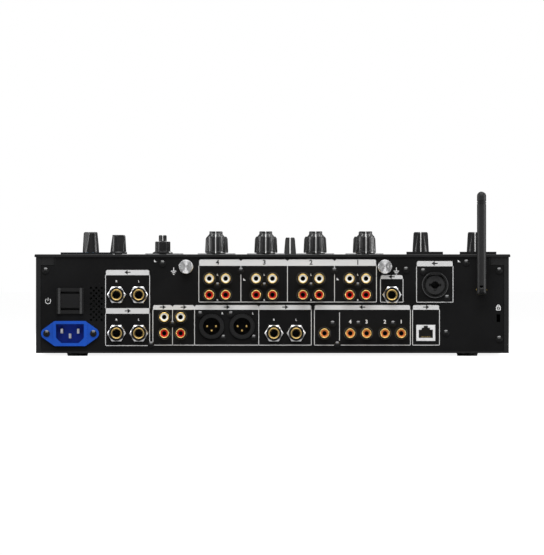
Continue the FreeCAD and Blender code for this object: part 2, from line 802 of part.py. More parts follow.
def jack_nut(at, face, side):
    turn = TO_REAR if side > 0 else TO_FRONT
    nut = hexagon((at[0], face, at[1]), "nut_across", "nut_thickness", turn)
    hole = rod((at[0], f"{face} - {side} * fit_gap", at[1]), "jack_collar_radius + run_gap",
               "nut_thickness + 2 * fit_gap", turn)
    return cut(nut, [hole])


def make_jacks():
    sockets = jack(HEADPHONE_JACK, FRONT, "front_wall", -1)
    nuts = [jack_nut(HEADPHONE_JACK, FRONT, -1)]
    for at in jack_places():
        sockets += jack(at, REAR, "rear_wall", 1)
        nuts.append(jack_nut(at, REAR, 1))
    node("jack_sockets", group(sockets))
    node("jack_nuts", group(nuts))


def make_outlets():
    front = f"({REAR} + outlet_reach)"
    floor = f"({front} - outlet_bore_depth)"
    pieces = []
    for x, z in outlet_places():
        shell = bar((x, z), "outlet_radius", f"{floor} - outlet_floor", front)
        bore = bar((x, z), "outlet_bore_radius", floor, f"{front} + fit_gap")
        pieces.append(cut(shell, [bore]))
        pins = [(f"({x} + outlet_pin_side)", z), (f"({x} - outlet_pin_side)", z), (x, f"({z} - outlet_pin_drop)")]
        pieces += [bar(at, "outlet_pin_radius", floor, f"{floor} + outlet_pin_length") for at in pins]
    node("three_pin_outlets", group(pieces))


def make_combo():
    """A rim, a groove and a slotted disc with a jack bore, and the latch in the rim's top."""
    x, z = COMBO
    back = f"({REAR} - combo_depth)"
    front = f"({REAR} + combo_reach)"
    body = bar(COMBO, "combo_radius", back, front)
    groove = bar(COMBO, "combo_radius - combo_rim", f"{REAR} - combo_groove", f"{front} + fit_gap")
    disc = bar(COMBO, "combo_disc_radius", back, f"{REAR} - combo_disc_setback")
    bore = bar(COMBO, "jack_bore_radius", f"{back} + jack_back_wall", front)
    slot_start = f"{REAR} - combo_disc_setback - combo_slot_depth"
    across = slab(COMBO, "combo_slot_width", "combo_slot_height", slot_start, front)
    down = slab((x, f"({z} - combo_slot_width / 4)"), "combo_slot_height", "combo_slot_width / 2", slot_start,
                front)
    space = latch_space(f"{REAR} - latch_depth - latch_travel - fit_gap", f"{front} + fit_gap")
    node("combo_socket", cut(fuse([cut(body, [groove]), disc]), [bore, across, down, space]))
    tab = (x, f"({z} + latch_low + latch_height / 2)")
    node("combo_latch", slab(tab, "latch_width", "latch_height", f"{REAR} - latch_depth", f"{REAR} + latch_proud"))


def make_data_sockets():
    """The network socket, with its stepped bore, and the two sockets under the port bezels."""
    x, z = NETWORK
    front = f"({REAR} + network_reach)"
    floor = f"({front} - network_bore_depth)"
    shield = slab(NETWORK, "network_width", "network_height", f"{REAR} - network_depth", front)
    base = f"({z} - network_height / 2 + network_bore_base)"
    steps = []
    for width, height in (
        ("network_bore_width", "network_bore_height"),
        ("network_step_width", "network_bore_height + network_step_height"),
        ("network_key_width", "network_bore_height + 2 * network_step_height"),
    ):
        steps.append(slab((x, f"({base} + ({height}) / 2)"), width, height, floor, f"{front} + fit_gap"))
    pieces = [cut(shield, steps)]
    for port_x, port_y in bezel_places():
        low = f"({PANEL_BASE} - port_depth)"
        sleeve = block((port_x, port_y, low), "port_width + 2 * port_wall - 2 * run_gap",
                       "port_length + 2 * port_wall - 2 * run_gap", "port_depth + panel_thickness")
        hollow = block((port_x, port_y, f"({low} + port_wall)"), "port_width", "port_length",
                       "port_depth + panel_thickness")
        pieces.append(cut(sleeve, [hollow]))
    node("data_sockets", group(pieces))


def make_inlet():
    """A flange with round ends and a raised middle, a chamfered well and three blades in it."""
    across = size("inlet_screw_pitch") / 2
    end = size("inlet_end_radius")
    flat = size("inlet_flat") / 2
    top = size("inlet_flange_height") / 2
    reach = math.hypot(across - flat, top)
    lean = math.atan2(top, across - flat) - math.asin(end / reach)
    touch_x = across + end * math.sin(lean)
    touch_z = end * math.cos(lean)
    corners = [Vector(-flat, 0, top), Vector(flat, 0, top), Vector(touch_x, 0, touch_z)]
    lower = [Vector(touch_x, 0, -touch_z), Vector(flat, 0, -top), Vector(-flat, 0, -top)]
    left = [Vector(-touch_x, 0, -touch_z), Vector(-touch_x, 0, touch_z)]
    edges = [Part.LineSegment(a, b).toShape() for a, b in zip(corners, corners[1:])]
    edges.append(Part.Arc(corners[-1], Vector(across + end, 0, 0), lower[0]).toShape())
    edges += [Part.LineSegment(a, b).toShape() for a, b in zip(lower, lower[1:] + left[:1])]
    edges.append(Part.Arc(left[0], Vector(-across - end, 0, 0), left[1]).toShape())
    edges.append(Part.LineSegment(left[1], corners[0]).toShape())
    outline = Part.Face(Part.Wire(edges))
    x, z = INLET
    plates = []
    for thickness in (size("inlet_flange"), size("inlet_flange") + size("inlet_boss")):
        plate = doc.addObject("Part::Feature", "inlet_plate")
        plate.Shape = outline.extrude(Vector(0, thickness, 0))
        place(plate, (x, REAR, z))
        plates.append(plate)
    flange, thick_plate = plates
    front = f"({REAR} + inlet_flange)"
    face = f"({front} + inlet_boss)"
    floor = f"({front} - inlet_bore_depth)"
    boss = shared([thick_plate, slab(INLET, "inlet_bore_width + 2 * inlet_boss_margin",
                                     "inlet_flange_height + 2 * fit_gap", REAR, face)])
    body = slab(INLET, "inlet_bore_width + 2 * inlet_wall", "inlet_bore_height + 2 * inlet_wall",
                f"{floor} - inlet_floor", REAR)
    well = slab(INLET, "inlet_bore_width", "inlet_bore_height", floor, f"{face} + fit_gap")
    corner_cuts = []
    for side in (1, -1):
        corner = (f"({x} + {side} * inlet_bore_width / 2)", floor, f"({z} - inlet_bore_height / 2)")
        wedge = bind(doc.addObject("Part::Box", "well_corner"), Length="inlet_bore_corner * sqrt(2)",
                     Width=f"{face} + 3 * fit_gap - ({floor})", Height="inlet_bore_corner * sqrt(2)")
        place(wedge, (f"{corner[0]} - inlet_bore_corner", f"{corner[1]} - fit_gap", corner[2]), EIGHTH_TURN)
        corner_cuts.append(wedge)
    screw_holes = [bar(at, "screw_shank_radius + screw_hole_gap", f"{REAR} - fit_gap", f"{front} + fit_gap")
                   for at in inlet_screw_places()]
    shell = cut(fuse([flange, boss, body]), [cut(well, corner_cuts)] + screw_holes)
    blades = [(x, f"({z} - blade_rise)")]
    blades += [(side, f"({z} + blade_rise)") for side in pair(x, "blade_pitch")]
    pins = [slab(at, "blade_width", "blade_height", floor, f"{floor} + blade_length") for at in blades]
    node("mains_inlet", group([shell] + pins))


def make_switch():
    x, z = SWITCH
    front = f"({REAR} + switch_flange)"
    flange = slab(SWITCH, "switch_width", "switch_frame_height", REAR, front)
    body = slab(SWITCH, "switch_width - 2 * switch_rim", "switch_frame_height - 2 * switch_rim",
                f"{REAR} - switch_depth", REAR)
    well = slab(SWITCH, "rocker_width + 2 * fit_gap", "2 * (rocker_half + rocker_swing_gap)",
                f"{REAR} - switch_depth + switch_rim", f"{front} + fit_gap")
    axis_y = f"({REAR} - rocker_axis_depth)"
    bearing = rod((f"{x} - rocker_width / 2 - trunnion_length - fit_gap", axis_y, z),
                  "trunnion_radius + run_gap", "rocker_width + 2 * trunnion_length + 2 * fit_gap", TO_RIGHT)
    guards = []
    for side in (1, -1):
        guard_x = f"({x} + {side} * (rocker_width / 2 + fit_gap + guard_width / 2))"
        guards.append(slab((guard_x, z), "guard_width", "switch_frame_height", front, f"{REAR} + guard_reach"))
    node("switch_frame", fuse([cut(fuse([flange, body]), [well, bearing])] + guards))

    half = size("rocker_half")
    back_half = size("rocker_back_half")
    back = -size("rocker_depth")
    outline = [(back, -back_half), (size("rocker_low"), -half), (size("rocker_high"), half), (back, back_half)]
    points = [Vector(0, y, height) for y, height in outline]
    paddle = doc.addObject("Part::Feature", "paddle")
    paddle.Shape = Part.Face(Part.makePolygon(points + points[:1])).extrude(Vector(size("rocker_width"), 0, 0))
    place(paddle, (f"{x} - rocker_width / 2", REAR, z))
    trunnions = rod((f"{x} - rocker_width / 2 - trunnion_length", axis_y, z), "trunnion_radius",
                    "rocker_width + 2 * trunnion_length", TO_RIGHT)
    node("power_rocker", fuse([paddle, trunnions]))


def make_ground_terminals():
    pieces = []
    for x, z in ground_places():
        head = bar((x, z), "ground_radius", REAR, f"{REAR} + ground_head")
        shank = bar((x, z), "ground_shank_radius", f"{REAR} - screw_length", REAR)
        pieces.append(fuse([head, shank]))
    node("ground_terminals", group(pieces))


# Antenna


def make_antenna():
    at = (ANTENNA_X, ANTENNA_Z)
    nut = hexagon((at[0], REAR, at[1]), "connector_across", "connector_nut", TO_REAR)
    barrel = bar(at, "connector_radius", f"{REAR} - connector_depth", f"{REAR} + connector_reach")
    bore = bar(at, "spigot_radius + run_gap", f"{REAR} + connector_reach - spigot_length - fit_gap",
               f"{REAR} + connector_reach + fit_gap")
    node("antenna_connector", cut(fuse([nut, barrel]), [bore]))

    seat = f"({REAR} + connector_reach + fit_gap)"
    flange = bar(at, "knuckle_radius", seat, f"{seat} + knuckle_flange")
    spigot = bar(at, "spigot_radius", f"{seat} - spigot_length", seat)
    tongue = slab(at, "tongue_width", "2 * tongue_radius", seat, PIVOT_Y)
    tip_start = f"{at[0]} - tongue_width / 2"
    tip = rod((tip_start, PIVOT_Y, at[1]), "tongue_radius", "tongue_width", TO_RIGHT)
    pin_hole = rod((f"{tip_start} - fit_gap", PIVOT_Y, at[1]), "pivot_pin_radius + run_gap",
                   "tongue_width + 2 * fit_gap", TO_RIGHT)
    node("antenna_knuckle", cut(fuse([flange, spigot, tongue, tip]), [pin_hole]))

    top = "(foot_height + antenna_top - whip_radius)"
    tube = rod((at[0], PIVOT_Y, at[1]), "whip_radius", f"{top} - {at[1]}")
    crown = bind(doc.addObject("Part::Sphere", "crown"), Radius="whip_radius")
    place(crown, (at[0], PIVOT_Y, top))
    heel = rod((f"{at[0]} - whip_radius", PIVOT_Y, at[1]), "whip_radius", "2 * whip_radius", TO_RIGHT)
    round_heel = doc.addObject("Part::Common", "round_heel")
    round_heel.Base = heel
    round_heel.Tool = rod((at[0], PIVOT_Y, f"{at[1]} - whip_radius"), "whip_radius", "whip_radius")
    fork = block((at[0], PIVOT_Y, f"{at[1]} - whip_radius - fit_gap"), "tongue_width + 2 * fit_gap",
                 "2 * whip_radius + 2 * fit_gap", "whip_radius + tongue_radius + 3 * fit_gap")
    grooves = []
    for step in range(2):
        low = f"(foot_height + antenna_top - whip_groove_drop - {step} * whip_groove_pitch)"
        ring = rod((at[0], PIVOT_Y, low), "whip_radius + fit_gap", "whip_groove")
        grooves.append(cut(ring, [rod((at[0], PIVOT_Y, low), "whip_groove_radius", "whip_groove")]))
    pin = rod((f"{at[0]} - whip_radius / 2 - tongue_width / 2", PIVOT_Y, at[1]), "pivot_pin_radius",
              "whip_radius + tongue_width", TO_RIGHT)
    node("antenna_whip", fuse([cut(fuse([tube, crown, round_heel]), [fork] + grooves), pin]))


# Knobs, faders and buttons of the top panel


def knob(label, x, y, stack, seat=PANEL_TOP):
    """A knob made of stacked round sections, on the spindle that carries it into its pot."""
    foot = f"({seat} + knob_lift)"
    spindle = rod((x, y, SPINDLE_END), "spindle_radius", f"{foot} - {SPINDLE_END}")
    node(label, fuse([spindle] + turned(x, y, foot, stack)))


TALL = [
    ("tall_radius", "tall_rim_radius", "tall_body"),
    ("tall_rim_radius", "tall_cap_radius", "tall_shoulder"),
    ("tall_cap_radius", "tall_cap_radius", "tall_cap"),
]
SELECTOR = [
    ("selector_skirt_radius", "selector_radius", "selector_skirt"),
    ("selector_radius", "selector_radius", "selector_body"),
    ("selector_radius", "selector_top_radius", "selector_bevel"),
]
COLOUR = [
    ("colour_radius", "colour_rim_radius", "colour_body"),
    ("colour_rim_radius", "colour_top_radius", "colour_bevel"),
]
SLIM = [
    ("slim_radius", "slim_rim_radius", "slim_body"),
    ("slim_rim_radius", "slim_top_radius", "slim_bevel"),
]
EFFECT = [
    ("flange_radius", "flange_radius", "flange_height"),
    ("effect_radius", "effect_rim_radius", "effect_body"),
    ("effect_rim_radius", "effect_top_radius", "effect_bevel"),
]
OUTER = [
    ("outer_flange_radius", "outer_flange_radius", "outer_flange"),
    ("outer_radius", "outer_radius", "outer_body"),
]


def make_channel_knobs():
    shapes = {"selector": SELECTOR, "colour": COLOUR}
    for index in range(CHANNELS):
        for name, y in channel_rows().items():
            seat = PLATE_TOP if name == "colour" else PANEL_TOP
            knob(f"channel_{index + 1}_{name}_knob", channel_x(index), y, shapes.get(name, TALL), seat)


def make_other_knobs():
    knob("effect_depth_knob", *EFFECT_DEPTH, SLIM)
    knob("effect_select_knob", *EFFECT_SELECT, EFFECT)
    knob("headphone_mix_knob", *HEADPHONE_MIX, SLIM)
    knob("headphone_level_knob", *HEADPHONE_LEVEL, SLIM)

    foot = f"({PANEL_TOP} + knob_lift)"
    sleeve = rod((MASTER_X, MASTER_Y, SPINDLE_END), "spindle_radius", f"{foot} - {SPINDLE_END}")
    body = fuse([sleeve] + turned(MASTER_X, MASTER_Y, foot, OUTER))
    outer_top = f"({foot} + outer_flange + outer_body)"
    bore = rod((MASTER_X, MASTER_Y, f"{SPINDLE_END} - fit_gap"), "inner_spindle_radius + outer_bore_gap",
               f"{outer_top} - {SPINDLE_END} + 2 * fit_gap")
    node("master_outer_knob", cut(body, [bore]))
    inner_foot = f"({outer_top} + knob_lift)"
    core = rod((MASTER_X, MASTER_Y, SPINDLE_END), "inner_spindle_radius", f"{inner_foot} - {SPINDLE_END}")
    cap = rod((MASTER_X, MASTER_Y, inner_foot), "inner_radius", "inner_body")
    node("master_inner_knob", fuse([core, cap]))


def make_faders():
    foot = f"({PANEL_TOP} + knob_lift)"
    stem_height = f"{foot} - {STEM_END}"
    start = f"({FADER_MIDDLE} - fader_travel / 2)"
    for index in range(CHANNELS):
        at = (channel_x(index), start, foot)
        cap = taper(at, ("fader_cap_width", "fader_cap_length"), ("fader_top_width", "fader_top_length"),
                    "fader_cap_height")
        stem = block((channel_x(index), start, STEM_END), "stem_width", "stem_length", stem_height)
        node(f"channel_{index + 1}_fader", fuse([cap, stem]))
    at = (CHANNEL_MIDDLE, CROSSFADER_Y, foot)
    cap = taper(at, ("fader_cap_width", "fader_cap_length"), ("crossfader_top_width", "fader_top_length"),
                "crossfader_cap_height")
    stem = block((CHANNEL_MIDDLE, CROSSFADER_Y, STEM_END), "stem_length", "stem_width", stem_height)
    node("crossfader", fuse([cap, stem]))


def make_cue_buttons():
    low = f"({PANEL_BASE} - cue_below)"
    for index in range(CHANNELS):
        button = block((channel_x(index), CUE_Y, low), "cue_width", "cue_length",
                       "cue_below + panel_thickness + cue_proud")
        node(f"channel_{index + 1}_cue_button", button)


# Plates on the top panel and boards inside


def make_bezels():
    """Pale plates under the columns, the two port bezels and the screen."""
    pieces = []
    for index in range(CHANNELS):
        plate = block((channel_x(index), PLATE_MIDDLE, PANEL_TOP), "plate_width", "plate_length", "plate_height")
        hole = rod((channel_x(index), channel_rows()["colour"], PANEL_BASE), "spindle_radius + shaft_hole_gap",
                   "panel_thickness + plate_height + fit_gap")
        pieces.append(cut(plate, [hole]))
    pieces.append(block((MASTER_X, PLATE_MIDDLE, PANEL_TOP), "plate_width", "plate_length", "plate_height"))
    for x, y in bezel_places():
        rim = block((x, y, PANEL_TOP), "bezel_width", "bezel_length", "bezel_height")
        mouth = block((x, y, PANEL_BASE), "port_width", "port_length",
                      "panel_thickness + bezel_height + fit_gap")
        pieces.append(cut(rim, [mouth]))
    screen_y = f"({PANEL_REAR} - screen_inset - screen_length / 2)"
    pieces.append(block((f"({RIGHT} - screen_side)", screen_y, PANEL_TOP), "screen_width", "screen_length",
                        "screen_height"))
    node("panel_bezels", group(pieces))


def pot(x, y):
    """A rotary pot on the control board, with the bearing of its spindle."""
    body = block((x, y, BOARD_TOP), "pot_width", "pot_width", "pot_height")
    bearing = rod((x, y, f"({BOARD_TOP} + pot_floor)"), "spindle_radius + run_gap", "pot_height")
    return cut(body, [bearing])


def slide_pot(x, y, along_x, travel):
    length = f"{travel} + stem_length + 2 * fader_body_end"
    slot = f"{travel} + stem_length + 2 * slot_gap"
    across = ("fader_body_width", "stem_width + 2 * slot_gap")
    sizes = [(length, across[0]), (slot, across[1])] if along_x else [(across[0], length), (across[1], slot)]
    body = block((x, y, BOARD_TOP), *sizes[0], "pot_height")
    return cut(body, [block((x, y, f"({STEM_END} - slot_gap)"), *sizes[1], "pot_height")])


def make_boards():
    width = f"({CASE_WIDTH} - 2 * side_wall - 2 * board_side_gap)"
    socket_board_rear = f"({REAR} - socket_board_gap)"
    socket_board_front = f"({socket_board_rear} - board_thickness)"
    rear = f"({socket_board_front} - fit_gap)"
    board_base = f"({BOARD_TOP} - board_thickness)"
    control_front = f"({FRONT} + front_wall + board_side_gap)"
    control = block(("0", f"(({control_front} + {rear}) / 2)", board_base), width,
                    f"{rear} - {control_front}", "board_thickness")
    pieces = [control]
    pieces += [pot(x, y) for x, y in knob_places()]
    pieces += [slide_pot(channel_x(index), FADER_MIDDLE, False, "fader_travel") for index in range(CHANNELS)]
    pieces.append(slide_pot(CHANNEL_MIDDLE, CROSSFADER_Y, True, "crossfader_travel"))
    pieces += [block((channel_x(index), CUE_Y, BOARD_TOP), "switch_body", "switch_body", "switch_height")
               for index in range(CHANNELS)]

    floor = "(foot_height + floor_wall)"
    main_front = f"({FRONT} + main_board_front)"
    main_rear = f"({socket_board_rear} - board_inset)"
    main_base = f"({floor} + standoff_height)"
    middle = f"(({main_front} + {main_rear}) / 2)"
    pieces.append(block(("0", middle, main_base), width, f"{main_rear} - {main_front}", "board_thickness"))
    power = (f"({RIGHT} - side_wall - board_side_gap - power_board_width / 2)",
             f"({main_rear} - power_board_length / 2)")
    power_base = f"({main_base} + board_thickness + power_board_lift)"
    pieces.append(block((*power, power_base), "power_board_width", "power_board_length", "board_thickness"))
    for side in (1, -1):
        x = f"({side} * ({width} / 2 - standoff_inset))"
        for y in (f"({main_front} + standoff_inset)", f"({main_rear} - standoff_inset)"):
            pieces.append(rod((x, y, floor), "standoff_radius", "standoff_height"))
        for y in (f"({control_front} + standoff_inset)", f"({rear} - standoff_inset)"):
            pieces.append(rod((x, y, BOARD_TOP), "standoff_radius", f"{PANEL_BASE} - {BOARD_TOP}"))
        x = f"({power[0]} + {side} * (power_board_width / 2 - standoff_inset))"
        for end in (1, -1):
            y = f"({power[1]} + {end} * (power_board_length / 2 - standoff_inset))"
            pieces.append(rod((x, y, f"({main_base} + board_thickness)"), "standoff_radius", "power_board_lift"))
    pieces.append(slab(("0", f"({floor} + socket_board_height / 2)"), width, "socket_board_height",
                       socket_board_front, socket_board_rear))
    node("circuit_boards", group(pieces))


def check_and_write():
    doc.recompute()
    for obj in doc.Objects:
        if "Invalid" in obj.State or "Error" in obj.State:
            raise RuntimeError(f"{obj.Name} of {obj.TypeId} failed: {obj.State}")
    os.makedirs("parts", exist_ok=True)
    for label, obj in nodes.items():
        shape = obj.Shape
        if shape.isNull() or not shape.isValid() or not shape.Solids:
            raise RuntimeError(f"{label} has no valid solid")
    for label, obj in nodes.items():
        obj.Shape.exportStep(f"parts/{label}.step")
        box = obj.Shape.BoundBox
        print(f"{label}: {len(obj.Shape.Solids)} solids, {obj.Shape.Volume / 1000:.2f} cm3,"
              f" z {box.ZMin:.2f} to {box.ZMax:.2f}")


make_tray()
make_rear_panel()
make_top_panel()
make_feet()
make_screws()
make_cinch_sockets()
make_jacks()
make_outlets()
make_combo()
make_data_sockets()
make_inlet()
make_switch()
make_ground_terminals()
make_antenna()
make_channel_knobs()
make_other_knobs()
make_faders()
make_cue_buttons()
make_bezels()
make_boards()
check_and_write()
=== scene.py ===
import json
import math

import bpy
from mathutils import Matrix, Vector


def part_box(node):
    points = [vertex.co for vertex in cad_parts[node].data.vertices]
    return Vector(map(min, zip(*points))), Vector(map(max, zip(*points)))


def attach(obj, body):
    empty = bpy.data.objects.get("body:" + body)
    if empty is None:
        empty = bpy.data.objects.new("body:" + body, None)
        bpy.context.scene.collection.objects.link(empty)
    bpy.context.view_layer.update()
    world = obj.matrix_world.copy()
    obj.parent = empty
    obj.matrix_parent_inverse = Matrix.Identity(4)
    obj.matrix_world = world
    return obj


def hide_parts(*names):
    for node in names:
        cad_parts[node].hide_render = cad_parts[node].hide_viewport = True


# The looks of a four-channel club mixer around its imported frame: +Z up, sockets towards +Y.
# Forms are drawn in millimetres and made in metres. Materials, lights and camera are in metres.
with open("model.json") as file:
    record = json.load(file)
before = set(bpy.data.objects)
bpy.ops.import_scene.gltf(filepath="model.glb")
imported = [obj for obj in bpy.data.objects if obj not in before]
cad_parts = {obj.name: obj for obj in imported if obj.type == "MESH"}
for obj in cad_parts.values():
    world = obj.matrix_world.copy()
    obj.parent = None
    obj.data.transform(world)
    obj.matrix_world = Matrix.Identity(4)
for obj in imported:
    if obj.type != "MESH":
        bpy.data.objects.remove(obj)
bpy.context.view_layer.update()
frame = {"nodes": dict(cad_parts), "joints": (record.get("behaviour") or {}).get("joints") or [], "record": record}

MM = 0.001
# How far print stands out of its ground
INK = 0.06
JOINTS = {joint["child"]: joint for joint in frame["joints"]}
CHANNELS = range(1, 5)
TALL_KNOBS = ("trim", "high", "mid", "low")


def corners(node):
    """The low and the high corner of a node's box at rest, in millimetres."""
    low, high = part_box(node)
    return low / MM, high / MM


def middle(node):
    low, high = corners(node)
    return (low + high) / 2


def node_points(node):
    """The vertices of a node at rest, in millimetres."""
    carrier = frame["nodes"][node]
    return [(carrier.matrix_world @ vertex.co) / MM for vertex in carrier.data.vertices]


def link(thing):
    bpy.context.scene.collection.objects.link(thing)


REAR = corners("rear_panel")[1].y
FRONT = corners("chassis_tray")[0].y
PANEL_LOW, PANEL_HIGH = corners("top_panel")
TOP = PANEL_HIGH.z
PLATE_TOP = TOP + 1.2

# Places on the rear panel, in millimetres, as the sockets have them
LOWER_ROW = 19.65
UPPER_ROW = 52.6
CINCH_ROW_GAP = 13.9
CINCH_PAIR = 14.0
LINE_BLOCKS = [47.0 - 40.05 * index for index in range(4)]
RECORD_X = 85.6
DIGITAL_OUT_X = -44.6
DIGITAL_IN_X = [block + side * CINCH_PAIR / 2 for block in (-73.65, -103.35) for side in (1, -1)]
JACK_PAIR = 19.1
RETURN_X = 124.05
BOOTH_X = -10.85
SECOND_MIC_X = -102.4
OUTLET_X = 39.05
OUTLET_PITCH = 26.1
OUTLET_Z = 25.6

# Materials


def set_inputs(node, values):
    for name, value in values.items():
        node.inputs[name].default_value = value
    return node


def new_material(name, colour, roughness, metallic=0.0, sheen=0.5):
    """A material whose sheen is the strength of its clear reflection, 0.5 for plain plastic."""
    material = bpy.data.materials.new(name)
    material.use_nodes = True
    shader = set_inputs(material.node_tree.nodes["Principled BSDF"], {
        "Base Color": (*colour, 1.0), "Roughness": roughness, "Metallic": metallic,
        "Specular IOR Level": sheen})
    return material, material.node_tree, shader


def noise(tree, scale, detail, stretch=(1, 1, 1)):
    """A noise texture in the object's own metres."""
    where = tree.nodes.new("ShaderNodeTexCoord")
    mapping = set_inputs(tree.nodes.new("ShaderNodeMapping"), {"Scale": stretch})
    texture = set_inputs(tree.nodes.new("ShaderNodeTexNoise"), {"Scale": scale, "Detail": detail})
    tree.links.new(where.outputs["Object"], mapping.inputs["Vector"])
    tree.links.new(mapping.outputs["Vector"], texture.inputs["Vector"])
    return texture.outputs["Fac"]


def spread(tree, value, low, high):
    """A noise value, mostly 0.3 to 0.7, mapped to low to high."""
    ranged = set_inputs(tree.nodes.new("ShaderNodeMapRange"), {
        "From Min": 0.3, "From Max": 0.7, "To Min": low, "To Max": high})
    tree.links.new(value, ranged.inputs["Value"])
    return ranged.outputs["Result"]


def tint(tree, shader, value, dark, light):
    ramp = tree.nodes.new("ShaderNodeValToRGB")
    for element, position, colour in zip(ramp.color_ramp.elements, (0.35, 0.65), (dark, light)):
        element.position = position
        element.color = (*colour, 1.0)
    tree.links.new(value, ramp.inputs["Fac"])
    tree.links.new(ramp.outputs["Color"], shader.inputs["Base Color"])


def bump(tree, shader, value, depth, strength):
    node = set_inputs(tree.nodes.new("ShaderNodeBump"), {"Strength": strength, "Distance": depth})
    tree.links.new(value, node.inputs["Height"])
    tree.links.new(node.outputs["Normal"], shader.inputs["Normal"])


def shade(colour, factor):
    return tuple(min(1.0, part * factor) for part in colour)


def grained(name, colour, roughness, sheen=0.5, grain=1800, depth=0.04, variation=0.18, metallic=0.0):
    """A finish with a fine grain: paint, moulded plastic or rubber."""
    material, tree, shader = new_material(name, colour, roughness, metallic, sheen)
    fine = noise(tree, grain, 3.0)
    wide = noise(tree, 25.0, 5.0)
    tint(tree, shader, wide, shade(colour, 1 - variation), shade(colour, 1 + variation))
    play = 0.025
    rough = spread(tree, fine, max(0.02, roughness - play), min(1.0, roughness + play))
    tree.links.new(rough, shader.inputs["Roughness"])
    bump(tree, shader, fine, depth * MM, 0.35)
    return material


def brushed(name, colour, roughness, stretch=(1, 12, 1)):
    """A metal with fine lines along one axis."""
    material, tree, shader = new_material(name, colour, roughness, 1.0)
    lines = noise(tree, 900.0, 2.0, stretch)
    tint(tree, shader, lines, shade(colour, 0.88), shade(colour, 1.08))
    tree.links.new(spread(tree, lines, roughness * 0.8, roughness * 1.25), shader.inputs["Roughness"])
    bump(tree, shader, lines, 0.01 * MM, 0.25)
    return material


def glass(name, colour, roughness=0.06):
    """A dark glossy window."""
    material, tree, shader = new_material(name, colour, roughness)
    set_inputs(shader, {"Coat Weight": 0.6, "Coat Roughness": 0.05})
    smudge = noise(tree, 60.0, 4.0)
    tree.links.new(spread(tree, smudge, roughness, roughness + 0.06), shader.inputs["Roughness"])
    return material


PANEL = grained("panel_paint", (0.0072, 0.0072, 0.0074), 0.5, 0.03, 1500, 0.05)
CASE = grained("case_paint", (0.0085, 0.0085, 0.0088), 0.46, 0.16, 1400, 0.06)
TOP_PAINT = grained("top_panel_paint", (0.0075, 0.0075, 0.0078), 0.42, 0.16, 1700)
PRINT = grained("pale_print", (0.53, 0.53, 0.53), 0.6, 0.2, 3000, 0.005, 0.03)
WHITE_PRINT = grained("white_print", (0.62, 0.62, 0.62), 0.6, 0.2, 3000, 0.005, 0.03)
DARK_PRINT = grained("dark_print", (0.012, 0.012, 0.0125), 0.6, 0.1, 3000, 0.01, 0.04)
RUBBER = grained("foot_rubber", (0.08, 0.08, 0.08), 0.42, 0.8, 900, 0.02)
BLACK_STEEL = grained("black_steel", (0.01, 0.01, 0.0105), 0.2, 0.9, 2500, 0.01, 0.2)
SCREW_BLACK = grained("screw_black", (0.003, 0.003, 0.0031), 0.16, 0.6, 2500, 0.0, 0.2)
# A grey for painted highlights on edges of holes and flanges.
EDGE_PAINTED_HIGHLIGHT = grained("hole_edge_painted_highlight", (0.06, 0.06, 0.061), 0.5, 0.3, 2500, 0.01, 0.1)
GUARD = grained("guard_plastic", (0.02, 0.02, 0.0205), 0.24, 0.8, 1800, 0.02)
PIN_GOLD = brushed("pin_gold", (0.62, 0.42, 0.14), 0.4)
# Painted shade on the sides of the outlet pins, which are gold.
PIN_PAINTED_SHADE = brushed("pin_painted_shade", (0.045, 0.03, 0.012), 0.5)
BLACK_PLASTIC = grained("black_plastic", (0.006, 0.006, 0.0063), 0.38, 0.2)
# A matt near-black: the real black of socket bodies, and painted shade where it stands for holes, throats, bores,
# gaps, grooves and the shaded parts of screw heads.
DARK_AND_PAINTED_SHADE = grained("socket_dark_and_painted_shade", (0.003, 0.003, 0.0032), 0.6, 0.15)
DISC_PLASTIC = grained("disc_plastic", (0.019, 0.019, 0.0195), 0.45, 0.2)
GOLD = brushed("gold_plate", (0.72, 0.51, 0.17), 0.28)
JACK_GOLD = brushed("jack_gold", (0.55, 0.38, 0.13), 0.36)
CHROME = grained("nickel", (0.74, 0.74, 0.75), 0.34, 0.5, 2500, 0.0, 0.03, metallic=1.0)
SHIELD = brushed("tinned_shield", (0.86, 0.86, 0.86), 0.42, (14, 1, 1))
SPUN = grained("spun_steel", (0.42, 0.42, 0.425), 0.3, 0.5, 2500, 0.0, 0.03, metallic=1.0)
KNURL = brushed("knurled_steel", (0.7, 0.7, 0.71), 0.28, (1, 14, 1))
WHITE_INSERT = grained("white_insert", (0.74, 0.73, 0.69), 0.5, 0.2, 2200, 0.02, 0.05)
RED_INSERT = grained("red_insert", (0.5, 0.012, 0.006), 0.5, 0.12, 2200, 0.02, 0.08)
ORANGE_INSERT = grained("orange_insert", (0.55, 0.15, 0.035), 0.5, 0.12, 2200, 0.02, 0.08)
INLET_BLUE = grained("inlet_blue", (0.0035, 0.055, 0.35), 0.36, 0.2, 1800, 0.04, 0.1)
# Lighter than the inlet's blue: painted light in the shaded well.
WELL_BLUE_PAINTED_LIGHT = grained("inlet_well_blue_painted_light", (0.003, 0.045, 0.42), 0.45, 0.2, 1800, 0.04, 0.1)
BLADE = brushed("blade_metal", (0.5, 0.5, 0.52), 0.36)
KNOB = grained("knob_rubber", (0.012, 0.012, 0.0125), 0.24, 0.6, 1300, 0.004)
KNOB_DARK = grained("knob_black", (0.008, 0.008, 0.0084), 0.3, 0.28, 1500, 0.004)
KNOB_TOP = grained("knob_cap", (0.009, 0.009, 0.0094), 0.3, 0.4, 1800, 0.004)
POINTER = grained("pointer_white", (0.55, 0.55, 0.545), 0.5, 0.5, 3000, 0.01, 0.03)
PLATE_GREY = grained("plate_grey", (0.36, 0.36, 0.365), 0.45, 0.5, 1500, 0.04, 0.08)
BEZEL_BLACK = grained("bezel_black", (0.006, 0.006, 0.0063), 0.32, 0.25, 1800, 0.03)
WHIP = grained("whip_plastic", (0.01, 0.01, 0.0104), 0.48, 0.2, 1800, 0.004)
